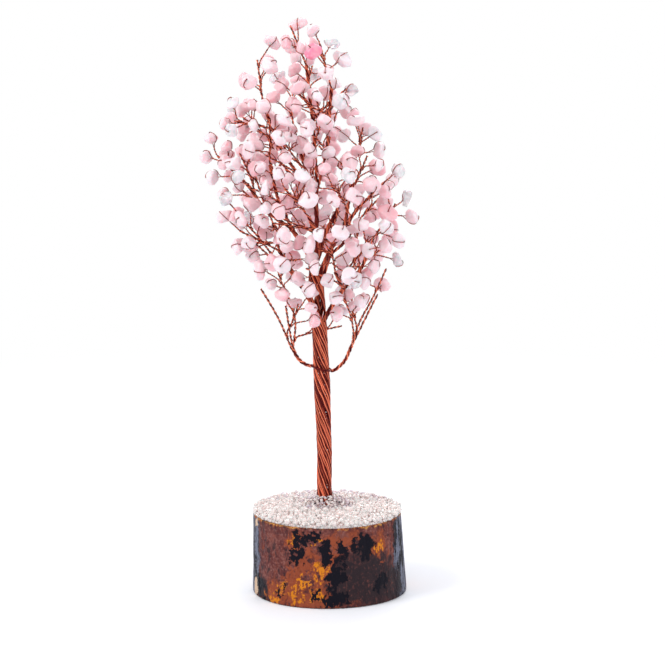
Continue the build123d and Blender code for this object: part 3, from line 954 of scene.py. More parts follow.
def sleeve_faces(rings: int, around: int, closed: bool) -> Faces:
    """Faces between rings of vertices.

    Args:
        rings: number of rings.
        around: vertices of each.
        closed: whether the last one is joined to the first.

    Returns:
        The faces.
    """
    faces = []
    for row in range(rings if closed else rings - 1):
        low, high = row * around, ((row + 1) % rings) * around
        for k in range(around):
            n = (k + 1) % around
            faces.append((low + k, low + n, high + n, high + k))
    return faces


def on_circle(radius: float, turn: float, height: float) -> Point:
    """The point at a distance and an angle from the middle, at a height."""
    return np.array([radius * math.cos(turn), radius * math.sin(turn), height])


def twisted(path: Point, count: int, spread: float, pitch: float, phase: float = 0.0) -> list[Point]:
    """Centre lines of wires that are twisted round a path.

    Args:
        path: points of the path.
        count: number of wires.
        spread: distance of each wire from the path.
        pitch: length of one turn.
        phase: turn of the first wire, in radians.

    Returns:
        The points of each wire.
    """
    _, sides, others = frames_along(path)
    steps = lengths_along(path)
    lines = []
    for wire in range(count):
        turn = phase + 2 * math.pi * (wire / count - steps / pitch)
        lines.append(path + (sides * np.cos(turn)[:, None] + others * np.sin(turn)[:, None]) * spread)
    return lines


def linked(name: str, data: bpy.types.ID) -> bpy.types.Object:
    """A new object in the scene.

    Args:
        name: its name.
        data: its mesh, lamp or camera.

    Returns:
        The object.
    """
    piece = bpy.data.objects.new(name, data)
    bpy.context.scene.collection.objects.link(piece)
    return piece


class MeshBuilder:
    """Collects vertices and faces of one piece, with a tint for each vertex."""

    def __init__(self) -> None:
        """Start with no vertices."""
        self.vertices: list[Point] = []
        self.faces: Faces = []
        self.tints: list[Point] = []
        self.count = 0

    def add(self, vertices: Point, faces: Iterable[Sequence[int]], tint: Union[float, Point] = 0.5) -> None:
        """Add a closed patch of mesh.

        Args:
            vertices: its vertices, in millimetres.
            faces: its faces, counted from its own first vertex.
            tint: one tint, or one for each vertex.
        """
        start = self.count
        self.vertices.append(vertices)
        self.faces.extend(tuple(int(corner) + start for corner in face) for face in faces)
        self.tints.append(np.full(len(vertices), tint) if np.isscalar(tint) else np.asarray(tint))
        self.count += len(vertices)

    def tube(self, path: Point, radius: float, sides: int, tint: Union[float, Point] = 0.5) -> None:
        """Add a round wire along a path, closed at both ends.

        Args:
            path: points of its centre line, one row each.
            radius: half its thickness.
            sides: number of its flat sides.
            tint: one tint, or one for each point.
        """
        _, across, other = frames_along(path)
        turns = (np.arange(sides) * 2 * math.pi / sides)[None, :, None]
        ring = across[:, None, :] * np.cos(turns) + other[:, None, :] * np.sin(turns)
        vertices = (path[:, None, :] + ring * radius).reshape(-1, 3)
        faces = sleeve_faces(len(path), sides, closed=False)
        last = (len(path) - 1) * sides
        faces.append(tuple(range(sides - 1, -1, -1)))
        faces.append(tuple(range(last, last + sides)))
        self.add(vertices, faces, tint if np.isscalar(tint) else np.repeat(tint, sides))

    def build(self, name: str, material: Material, smooth: bool = True) -> bpy.types.Object:
        """Make the object.

        Args:
            name: name of the piece.
            material: its finish.
            smooth: whether its faces are shaded smooth.

        Returns:
            The new object, in metres.
        """
        mesh = bpy.data.meshes.new(name)
        vertices = np.concatenate(self.vertices) * METRE
        mesh.from_pydata(vertices.tolist(), [], self.faces)
        tint = mesh.attributes.new("tint", "FLOAT", "POINT")
        tint.data.foreach_set("value", np.concatenate(self.tints).astype(np.float32))
        mesh.polygons.foreach_set("use_smooth", [smooth] * len(mesh.polygons))
        mesh.materials.append(material)
        mesh.update()
        return linked(name, mesh)


class Socket:
    """One output of a node, on which sums are written as Python expressions."""

    def __init__(self, shading: "NodeTree", output: bpy.types.NodeSocket) -> None:
        """Wrap an output of a node tree."""
        self.shading = shading
        self.output = output

    def _math(self, operation: str, first: "Term", second: "Term") -> "Socket":
        """A Math node on two terms."""
        return self.shading.node("ShaderNodeMath", {"operation": operation}, {0: first, 1: second})

    def __add__(self, other: "Term") -> "Socket":
        """Sum."""
        return self._math("ADD", self, other)

    __radd__ = __add__

    def __sub__(self, other: "Term") -> "Socket":
        """Difference."""
        return self._math("SUBTRACT", self, other)

    def __rsub__(self, other: "Term") -> "Socket":
        """Difference from a number."""
        return self._math("SUBTRACT", other, self)

    def __mul__(self, other: "Term") -> "Socket":
        """Product."""
        return self._math("MULTIPLY", self, other)

    __rmul__ = __mul__

    def __truediv__(self, other: "Term") -> "Socket":
        """Quotient."""
        return self._math("DIVIDE", self, other)

    def __pow__(self, other: "Term") -> "Socket":
        """Power."""
        return self._math("POWER", self, other)

    def most(self, other: "Term") -> "Socket":
        """The larger of two terms."""
        return self._math("MAXIMUM", self, other)

    def ramp(self, low: float, high: float, bottom: float = 0.0, top: float = 1.0) -> "Socket":
        """The term mapped smoothly from low..high to bottom..top."""
        values = {"Value": self, "From Min": low, "From Max": high, "To Min": bottom, "To Max": top}
        return self.shading.node("ShaderNodeMapRange", {"interpolation_type": "SMOOTHSTEP"}, values)


Term = Union[Socket, float]


class NodeTree:
    """A tree of shader nodes that is built from nothing."""

    def __init__(self, tree: bpy.types.NodeTree) -> None:
        """Empty the tree."""
        self.tree = tree
        self.tree.nodes.clear()

    def put(self, target: bpy.types.NodeSocket, value: object) -> None:
        """Set an input to a value, or link it to a socket.

        Args:
            target: the input.
            value: a number, a colour, a vector or a socket.
        """
        if isinstance(value, Socket):
            self.tree.links.new(value.output, target)
        elif isinstance(value, tuple) and len(value) == 3 and target.type == "RGBA":
            target.default_value = (*value, 1.0)
        else:
            target.default_value = value

    def node(
        self, kind: str, settings: Mapping[str, object], values: Mapping, pick: Union[int, str] = 0
    ) -> Socket:
        """Add a node.

        Args:
            kind: its type.
            settings: its own settings.
            values: its inputs by name or number.
            pick: which output to return.

        Returns:
            The output.
        """
        node = self.tree.nodes.new(kind)
        for key, value in settings.items():
            setattr(node, key, value)
        for key, value in values.items():
            self.put(node.inputs[key], value)
        return Socket(self, node.outputs[pick])

    def seen(self) -> Socket:
        """1 for the rays of the camera, of gloss and of clear stone, and 0 for all others.

        Returns:
            The mask.
        """
        mask = self.node("ShaderNodeLightPath", {}, {}, "Is Camera Ray")
        for ray in ("Is Glossy Ray", "Is Transmission Ray"):
            mask = mask.most(self.node("ShaderNodeLightPath", {}, {}, ray))
        return mask


class Shading(NodeTree):
    """The node tree of one material."""

    def __init__(self, name: str) -> None:
        """Make a material with a bare principled surface.

        Args:
            name: its name.
        """
        self.material = bpy.data.materials.new(name)
        self.material.use_nodes = True
        super().__init__(self.material.node_tree)
        self.output = self.tree.nodes.new("ShaderNodeOutputMaterial")
        self.surface = self.tree.nodes.new("ShaderNodeBsdfPrincipled")
        self.tree.links.new(self.surface.outputs[0], self.output.inputs[0])

    def place(self) -> Socket:
        """The point of the surface, in the object's own metres."""
        return self.node("ShaderNodeTexCoord", {}, {}, "Object")

    def parts(self, vector: Socket) -> tuple[Socket, Socket, Socket]:
        """The three numbers of a vector.

        Args:
            vector: the vector.

        Returns:
            Its three numbers.
        """
        first = self.node("ShaderNodeSeparateXYZ", {}, {0: vector})
        node = first.output.node
        return first, Socket(self, node.outputs[1]), Socket(self, node.outputs[2])

    def join(self, x: Term, y: Term, z: Term) -> Socket:
        """A vector of three numbers."""
        return self.node("ShaderNodeCombineXYZ", {}, {0: x, 1: y, 2: z})

    def noise(
        self, place: Socket, scale: float, detail: float = 3.0, rough: float = 0.55, warp: float = 0.0
    ) -> Socket:
        """Cloudy noise from 0 to 1."""
        values = {"Vector": place, "Scale": scale, "Detail": detail, "Roughness": rough, "Distortion": warp}
        return self.node("ShaderNodeTexNoise", {}, values)

    def mix(self, factor: Term, first: object, second: object) -> Socket:
        """Two colours mixed."""
        return self.node("ShaderNodeMix", {"data_type": "RGBA"}, {0: factor, 6: first, 7: second}, 2)

    def attribute(self, name: str) -> Socket:
        """A number that the mesh carries for each vertex."""
        return self.node("ShaderNodeAttribute", {"attribute_name": name}, {}, "Fac")

    def bump(self, height: Socket, strength: float, distance: float) -> Socket:
        """A normal bent by a height."""
        return self.node("ShaderNodeBump", {}, {"Height": height, "Strength": strength, "Distance": distance})

    def finish(self, **sockets: object) -> Material:
        """Set the surface's own sockets.

        Args:
            sockets: the values by name, with an underscore for each space.

        Returns:
            The material.
        """
        for key, value in sockets.items():
            self.put(self.surface.inputs[key.replace("_", " ")], value)
        return self.material

    def blend(self, factor: Term, second: Socket) -> None:
        """Mix what the output shows with a second surface.

        Args:
            factor: how much of the second surface shows.
            second: that surface.
        """
        shown = Socket(self, self.output.inputs[0].links[0].from_socket)
        mixed = self.node("ShaderNodeMixShader", {}, {0: factor, 1: shown, 2: second})
        self.put(self.output.inputs[0], mixed)


@dataclass(frozen=True)
class CopperFinish:
    """Drawn copper wire: deep maroon where a wire's tint is low and orange-red where it is high, a painted
    highlight and painted shade that neighbouring wires alternate, with dark tarnish flecks that the low tints
    deepen as painted shade.
    """

    name: str = "copper_wire"
    bright: Colour = (0.80, 0.205, 0.110)
    deep: Colour = (0.17, 0.018, 0.016)
    tarnish_and_painted_shade: Colour = (0.070, 0.010, 0.012)

    def material(self) -> Material:
        """Build the finish.

        Returns:
            The material.
        """
        s = Shading(self.name)
        place = s.place()
        tint = s.attribute("tint")
        cloud = s.noise(place, 120.0, 3.0, 0.6)
        fleck = s.noise(place, 1100.0, 2.0, 0.6)
        # Painted highlight and painted shade: the wire's tint, high and low on neighbouring wires, mixes deep
        # maroon towards orange-red, with random tone from the cloud.
        tone_and_painted_highlight = (cloud * 0.5 + tint * 0.9).ramp(0.40, 1.10)
        colour = s.mix(tone_and_painted_highlight, self.deep, self.bright)
        # Tarnish flecks, made deeper on low-tint wires as painted shade.
        dark = (fleck * 0.6 + cloud * 0.2 + tint * 0.25).ramp(0.52, 0.34)
        colour = s.mix(dark * 0.75, colour, self.tarnish_and_painted_shade)
        rough = 0.30 + dark * 0.25 + fleck * 0.08
        return s.finish(
            Base_Color=colour, Metallic=1.0, Roughness=rough, Normal=s.bump(fleck + cloud, 0.25, 0.0002)
        )


@dataclass(frozen=True)
class RoseQuartzFinish:
    """Tumbled rose quartz: milky and translucent, from nearly clear through pale pink to one vivid pink; the
    chips near the crown's outline are made nearly clear as painted backlight.
    """

    name: str = "rose_quartz"
    water: Colour = (1.0, 0.955, 0.965)
    clear: Colour = (0.95, 0.875, 0.90)
    pale: Colour = (0.94, 0.735, 0.755)
    pink: Colour = (0.90, 0.53, 0.565)
    vivid: Colour = (0.90, 0.27, 0.40)

    def material(self) -> Material:
        """Build the finish.

        Returns:
            The material.
        """
        s = Shading(self.name)
        place = s.place()
        tint = s.attribute("tint")
        cloud = s.noise(place, 170.0, 3.0, 0.55, 0.6)
        vein = s.noise(place, 420.0, 2.0, 0.5, 1.2)
        depth = tint + (cloud - 0.5) * 0.35
        colour = s.mix(depth.ramp(-0.05, 0.32), self.clear, self.pale)
        colour = s.mix(depth.ramp(0.25, 1.0), colour, self.pink)
        colour = s.mix(tint.ramp(1.2, 1.6) * cloud.ramp(0.35, 0.60, 0.45, 1.0), colour, self.vivid)
        colour = s.mix(vein.ramp(0.58, 0.76) * 0.35, colour, self.clear)
        rough = cloud.ramp(0.3, 0.7, 0.22, 0.40)
        normal = s.bump(cloud + vein * 0.4, 0.16, 0.0004)
        s.finish(
            Base_Color=colour,
            Roughness=rough,
            IOR=1.48,
            Subsurface_Weight=1.0,
            Subsurface_Radius=(1.0, 0.62, 0.68),
            Subsurface_Scale=0.0030,
            Normal=normal,
        )
        # The clear glassy surface shows where the tint is low, chiefly on the chips near the crown's outline
        # that are paled as painted backlight.
        glassy = {"Base Color": self.water, "Roughness": rough * 0.6, "Normal": normal}
        glassy.update({"IOR": 1.25, "Transmission Weight": 1.0})
        clear = s.node("ShaderNodeBsdfPrincipled", {}, glassy)
        s.blend((tint + (cloud - 0.5) * 0.5).ramp(0.22, -0.15) * 0.60, clear)
        return s.material


@dataclass(frozen=True)
class GravelFinish:
    """Crushed quartz: pale pink-white grains, some clear lilac, some grey, a few almost black."""

    name: str = "crushed_quartz"
    pale: Colour = (0.95, 0.83, 0.79)
    pink: Colour = (0.89, 0.65, 0.62)
    lilac: Colour = (0.64, 0.57, 0.67)
    grey: Colour = (0.34, 0.30, 0.31)
    black: Colour = (0.02, 0.015, 0.02)

    def material(self) -> Material:
        """Build the finish.

        Returns:
            The material.
        """
        s = Shading(self.name)
        place = s.place()
        tint = s.attribute("tint")
        cloud = s.noise(place, 260.0, 3.0, 0.6)
        colour = s.mix((cloud * 0.8 + tint * 0.3).ramp(0.35, 0.95), self.pale, self.pink)
        colour = s.mix(tint.ramp(0.55, 0.80) * 0.7, colour, self.lilac)
        colour = s.mix(tint.ramp(0.88, 1.0) * 0.9, colour, self.grey)
        colour = s.mix(tint.ramp(1.5, 1.9), colour, self.black)
        return s.finish(
            Base_Color=colour,
            Roughness=cloud.ramp(0.3, 0.7, 0.16, 0.4),
            IOR=1.50,
            Transmission_Weight=0.18,
            Subsurface_Weight=0.6,
            Subsurface_Radius=(0.9, 0.7, 0.7),
            Subsurface_Scale=0.0022,
            Normal=s.bump(cloud, 0.2, 0.0003),
        )


@dataclass(frozen=True)
class GlueFinish:
    """Set glue between the grains, clouded by quartz dust."""

    name: str = "clear_glue"
    dusty: Colour = (0.88, 0.74, 0.72)
    wet: Colour = (0.72, 0.56, 0.54)

    def material(self) -> Material:
        """Build the finish.

        Returns:
            The material.
        """
        s = Shading(self.name)
        cloud = s.noise(s.place(), 420.0)
        return s.finish(
            Base_Color=s.mix(cloud.ramp(0.35, 0.65), self.wet, self.dusty),
            Roughness=0.12 + cloud * 0.2,
            Coat_Weight=0.5,
            Normal=s.bump(cloud, 0.8, 0.0012),
        )


Spot = tuple[float, float, float, float]


@dataclass(frozen=True)
class BarkFinish:
    """Lacquered bark: maroon-brown, with amber, rust and black patches, and a grey-blue sheen with dark
    fissures painted on its sides as a painted reflection.

    A spot is its middle in degrees from the front and as a share of the height, and its two half sizes.
    """

    name: str = "lacquered_bark"
    maroon: Colour = (0.105, 0.028, 0.027)
    brown: Colour = (0.195, 0.064, 0.052)
    mottle: Colour = (0.30, 0.145, 0.13)
    rust: Colour = (0.30, 0.066, 0.026)
    amber: Colour = (0.66, 0.215, 0.014)
    straw: Colour = (0.60, 0.31, 0.085)
    tan: Colour = (0.66, 0.47, 0.33)
    charcoal: Colour = (0.024, 0.017, 0.021)
    black: Colour = (0.006, 0.005, 0.010)
    # Grey-blue painted sheen: a painted reflection on the bark's sides.
    painted_sheen: Colour = (0.16, 0.17, 0.23)
    height: float = 0.0355
    painted_sheen_spots: tuple[Spot, ...] = (
        (-79, 0.5, 17, 1.3), (74, 0.40, 15, 1.0), (-165, 0.5, 12, 1.2), (128, 0.6, 14, 1.0),
    )
    coals: tuple[Spot, ...] = (
        (38, 0.32, 30, 0.46), (58, 0.18, 16, 0.36), (18, 0.34, 11, 0.46), (-57, 0.10, 7, 0.26),
        (5, 0.20, 11, 0.24), (30, 0.72, 13, 0.24), (150, 0.35, 30, 0.36), (-120, 0.65, 18, 0.40),
    )
    rusts: tuple[Spot, ...] = (
        (-22, 0.45, 9, 0.30), (-15, 0.67, 7, 0.18), (2, 0.62, 8, 0.20), (10, 0.86, 22, 0.12),
        (-12, 0.06, 40, 0.14), (-40, 0.14, 18, 0.22), (-25, 0.20, 12, 0.30), (-5, 0.48, 11, 0.30),
        (-6, 0.20, 12, 0.20), (-26, 0.84, 10, 0.16), (44, 0.74, 12, 0.18), (-140, 0.3, 22, 0.30),
        (105, 0.25, 18, 0.26), (178, 0.7, 18, 0.26),
    )
    ambers: tuple[Spot, ...] = (
        (-5, 0.47, 9.0, 0.27), (-7, 0.19, 11.0, 0.16), (-44, 0.09, 13, 0.13), (-36, 0.24, 10, 0.12),
        (-24, 0.14, 8, 0.20), (-26, 0.84, 6.0, 0.11), (43, 0.74, 6.0, 0.12), (-17, 0.30, 5, 0.22),
        (-8, 0.87, 6, 0.07), (-138, 0.28, 14, 0.20), (104, 0.2, 13, 0.18), (-176, 0.72, 12, 0.18),
    )
    blacks: tuple[Spot, ...] = (
        (30, 0.77, 10.0, 0.18), (-3, 0.70, 5.6, 0.20), (-23, 0.64, 5.0, 0.13), (-21, 0.87, 6.5, 0.10),
        (-12, 0.90, 5.0, 0.08), (12, 0.72, 5.2, 0.23), (7, 0.42, 6.0, 0.28), (6, 0.14, 11.0, 0.18),
        (-36, 0.19, 3.0, 0.10), (-8, 0.17, 3.0, 0.08), (44, 0.28, 9, 0.14), (-62, 0.14, 5, 0.18),
        (-150, 0.75, 10, 0.20), (140, 0.5, 11, 0.28), (-105, 0.3, 8, 0.26),
    )
    tans: tuple[Spot, ...] = ((-71, 0.11, 5.0, 0.15), (-70, 0.93, 3.0, 0.05))

    def near(self, turn: Socket, level: Socket, spots: Sequence[Spot]) -> Socket:
        """How near a point is to the nearest spot.

        Args:
            turn: its angle from the front, in degrees.
            level: its share of the height.
            spots: the spots.

        Returns:
            1 at a spot's middle and 0 at its edge.
        """
        best = None
        for middle, height, wide, tall in spots:
            across = (turn - middle) / wide
            rise = (level - height) / tall
            near = 1.0 - (across * across + rise * rise) ** 0.5
            best = near if best is None else best.most(near)
        return best.most(-1.0)

    def material(self) -> Material:
        """Build the finish.

        Returns:
            The material.
        """
        s = Shading(self.name)
        place = s.place()
        x, y, z = s.parts(place)
        angle = s.node("ShaderNodeMath", {"operation": "ARCTAN2"}, {0: x, 1: y * -1.0}) * (180.0 / math.pi)
        streak = s.noise(s.join(x, y, z * 0.26), 300.0, 4.0, 0.62, 0.5)
        grain = s.noise(place, 900.0, 3.0, 0.65)
        cell = s.noise(s.join(x, y, z * 0.6), 480.0, 3.0, 0.60, 0.4)
        cloud = s.noise(place, 110.0, 4.0, 0.62, 0.6)
        blot = s.noise(place, 230.0, 4.0, 0.60)
        turn = angle + (blot - 0.5) * 34.0 + (cell - 0.5) * 14.0
        rise = z / self.height
        level = rise + (cloud - 0.5) * 0.40 + (cell - 0.5) * 0.30
        speck = (grain - 0.5) * 1.6 + (cell - 0.5) * 2.0
        colour = s.mix((cloud + (grain - 0.5) * 0.7).ramp(0.36, 0.64), self.maroon, self.brown)
        colour = s.mix(grain.ramp(0.52, 0.68) * 0.5, colour, self.mottle)
        colour = s.mix(cell.ramp(0.54, 0.70) * 0.5, colour, self.rust)
        colour = s.mix(cell.ramp(0.47, 0.34) * 0.75, colour, self.charcoal)
        # Painted reflection: a grey-blue sheen with dark fissures at the sides.
        painted_sheen = (self.near(angle, rise, self.painted_sheen_spots) + (blot - 0.5) * 1.2).ramp(0.0, 0.25)
        fissured_sheen = s.mix((streak + (grain - 0.5) * 0.5).ramp(0.44, 0.60), self.black, self.painted_sheen)
        colour = s.mix(painted_sheen, colour, fissured_sheen)
        coal = (self.near(turn, level, self.coals) + speck * 0.4).ramp(0.0, 0.45)
        charred = s.mix((cell * 0.5 + grain * 0.5).ramp(0.52, 0.66) * 0.5, self.charcoal, self.brown)
        colour = s.mix(coal * 0.95, colour, charred)
        rust = (self.near(turn, level, self.rusts) + speck * 0.7).ramp(0.05, 0.55)
        colour = s.mix(rust * 0.8, colour, self.rust)
        amber = (self.near(turn, level, self.ambers) + speck * 0.95).ramp(0.42, 0.78)
        colour = s.mix(amber, colour, self.amber)
        black = (self.near(turn, level, self.blacks) + speck * 0.30).ramp(0.10, 0.30)
        colour = s.mix(black, colour, self.black)
        tan = self.near((angle + turn) * 0.5, (rise + level) * 0.5, self.tans)
        colour = s.mix((tan + speck * 0.5).ramp(0.0, 0.25), colour, self.tan)
        rim = (rise + (cell - 0.5) * 0.10 + (blot - 0.5) * 0.12).ramp(0.978, 1.0)
        colour = s.mix(rim, colour, s.mix(grain.ramp(0.42, 0.58), self.rust, self.straw))
        height = streak * (0.4 + painted_sheen * 1.2) + grain * 0.25 + cell * 0.5 - black * 0.2
        return s.finish(
            Base_Color=colour,
            Roughness=0.26 + grain * 0.20 + (1.0 - black) * 0.08,
            Specular_IOR_Level=0.06,
            Coat_Weight=0.03,
            Coat_Roughness=0.10,
            Normal=s.bump(height, 0.85, 0.0010),
        )


@dataclass(frozen=True)
class WoodFinish:
    """Sawn end grain with rings, lacquered."""

    name: str = "end_grain"
    early: Colour = (0.50, 0.27, 0.12)
    late: Colour = (0.27, 0.12, 0.05)

    def material(self) -> Material:
        """Build the finish.

        Returns:
            The material.
        """
        s = Shading(self.name)
        place = s.place()
        x, y, _ = s.parts(place)
        wobble = s.noise(place, 40.0, 3.0) * 0.006
        reach = ((x * x + y * y) ** 0.5 + wobble) * 620.0
        rings = s.node("ShaderNodeMath", {"operation": "SINE"}, {0: reach}).ramp(-1.0, 1.0)
        grain = s.noise(place, 500.0, 4.0, 0.65)
        colour = s.mix((rings * 0.6 + grain * 0.4).ramp(0.2, 0.8), self.late, self.early)
        return s.finish(
            Base_Color=colour, Roughness=0.42 + grain * 0.2, Normal=s.bump(rings * 0.3 + grain, 0.3, 0.0003)
        )


@dataclass
class TrunkWires:
    """The rope of the trunk as its single wires, and the wrap of the side arms."""

    rope: RopePlan
    crown: Crown
    copper: Material
    seed: int = 5
    wires_per_strand: int = 5
    wire: float = 0.64
    fan: float = 0.94
    lifts: Pair = (-0.10, 0.04)
    sways: tuple[Place, ...] = ((0.035, 0.35, 1.0), (0.03, 0.9, 2.0))
    ripple: Pair = (0.05, 0.5)
    # Tints of neighbouring wires alternate high and low: painted highlight and painted shade between wires,
    # with a small random spread.
    tints: tuple[float, ...] = (0.95, 0.25, 0.75, 0.05, 0.85, 0.45, 0.15)
    tint_spread: float = 0.08
    step: float = 1.1
    sides: int = 8
    core_wires: int = 4
    core_step: float = 0.9
    core_spread: float = 0.60
    core_pitch: float = 14.0
    core_radius: float = 0.45
    wrap_samples: int = 73
    wrap_pitch: float = 4.2
    dice: random.Random = field(init=False)

    def strand_wire(self, place: float, height: float) -> Point:
        """Points of one wire of a strand.

        Args:
            place: where round the rope it lies, in strands.
            height: where the strand leaves the trunk.

        Returns:
            The points, one row each.
        """
        proud = self.rope.strand / 2 - self.wire / 2
        lift = self.dice.uniform(*self.lifts)
        phase = self.dice.uniform(*PHASES)
        points = []
        for z in steps_between(self.rope.foot, height, self.step):
            sway = sum(reach * math.sin(z * rate + turns * phase) for reach, rate, turns in self.sways)
            ripple = self.ripple[0] * math.sin(z * self.ripple[1] + phase)
            points.append(self.rope.point(place + sway, z, proud + lift + ripple))
        return np.array(points)

    def build(self) -> None:
        """Make the wires of each strand, the core and the wrap."""
        self.dice = random.Random(self.seed)
        spread = self.fan / self.wires_per_strand
        for strand, height, _ in self.crown.plan.limb_rows:
            builder = MeshBuilder()
            for wire in range(self.wires_per_strand):
                place = strand + (wire - (self.wires_per_strand - 1) / 2) * spread
                points = self.strand_wire(place, height)
                # Alternating high and low tints: painted highlight and painted shade.
                tint = self.tints[(wire + strand) % len(self.tints)]
                tint = tint + self.dice.uniform(-self.tint_spread, self.tint_spread)
                builder.tube(points, self.wire / 2, self.sides, tint)
            piece = builder.build(f"strand_{strand + 1}_wires", self.copper)
            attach(piece, "trunk")
            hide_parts(f"trunk_strand_{strand + 1}")
        LOG.info("trunk: %d strands of %d wires", self.rope.strands, self.wires_per_strand)
        self.build_core()
        self.build_wrap()

    def build_core(self) -> None:
        """Make the core of the rope, which goes on as the leader."""
        heights = steps_between(self.rope.foot, self.rope.heights[-1], self.core_step)
        path = np.array([[self.rope.lean(z), 0.0, z] for z in heights])
        builder = MeshBuilder()
        for line in twisted(path, self.core_wires, self.core_spread, self.core_pitch):
            builder.tube(line, self.core_radius, self.sides, self.dice.random())
        piece = builder.build("core_wires", self.copper)
        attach(piece, "trunk")
        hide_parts("trunk_core")

    def build_wrap(self) -> None:
        """Make the twisted pair that goes once round the trunk."""
        plan = self.crown.plan
        slope = math.radians(plan.wrap_tilt)
        radius = self.crown.wrap_radius()
        across = np.array([math.cos(slope), 0.0, -math.sin(slope)])
        away = np.array([0.0, 1.0, 0.0])
        centre = np.array([self.rope.lean(plan.wrap_height), 0.0, plan.wrap_height])
        turns = np.linspace(0.0, 2 * math.pi, self.wrap_samples)
        path = centre + radius * (np.cos(turns)[:, None] * across + np.sin(turns)[:, None] * away)
        builder = MeshBuilder()
        for line in twisted(path, 2, plan.wrap_diameter / 4, self.wrap_pitch):
            builder.tube(line, plan.wrap_diameter / 4, self.sides, self.dice.random())
        piece = builder.build("arm_wrap_wires", self.copper)
        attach(piece, "trunk")
        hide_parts("arm_wrap")


@dataclass(frozen=True)
class StoneShape:
    """Shapes of the chips: the frame's facets, with more of them knocked off each chip."""

    sizes: WirePlan
    frame_steps: Pair = (0.3, 0.7)
    frame_turns: Pair = (-0.3, 0.3)
    frame_shares: Pair = (0.86, 0.96)
    off_shares: tuple[Pair, ...] = (
        (0.45, 0.72), (0.50, 0.75), (0.60, 0.85), (0.65, 0.90), (0.75, 0.95),
    )
    opposite_slip: float = 0.25
    sharpness: float = 60.0

    def planes(self, pattern: int, seed: int) -> tuple[Point, Point]:
        """Facets of a chip: outward normals and their distances.

        Args:
            pattern: which of the frame's chips it is.
            seed: its own facets.

        Returns:
            Normals, one row each, and distances from the middle.
        """
        sizes = self.sizes
        half = np.array(sizes.chip) * sizes.chip_size_shares[pattern] / 2
        normals = [row for row in np.eye(3)] + [-row for row in np.eye(3)]
        reaches = list(half) + list(half)
        dice = random.Random(sizes.chip_seeds[pattern])
        for index in range(sizes.chip_facets):
            height = 1 - 2 * (index + dice.uniform(*self.frame_steps)) / sizes.chip_facets
            turn = index * GOLDEN_TURN + dice.uniform(*self.frame_turns)
            flat = math.sqrt(1 - height * height)
            normals.append(np.array([flat * math.cos(turn), flat * math.sin(turn), height]))
            reaches.append(np.linalg.norm(half * normals[-1]) * dice.uniform(*self.frame_shares))
        dice = random.Random(seed)
        for number, shares in enumerate(self.off_shares):
            way = np.array([dice.gauss(0, 1) for _ in range(3)])
            if number == 1:  # roughly opposite the first cut
                way = way * self.opposite_slip - normals[-1]
            normals.append(unit(way))
            reaches.append(np.linalg.norm(half * normals[-1]) * dice.uniform(*shares))
        return np.array(normals), np.array(reaches)

    def distances(self, ways: Point, normals: Point, reaches: Point) -> Point:
        """How far the surface is from the middle, in some directions."""
        close = np.maximum(ways @ normals.T / reaches, 0.0)
        return (close**self.sharpness).sum(axis=1) ** (-1.0 / self.sharpness)


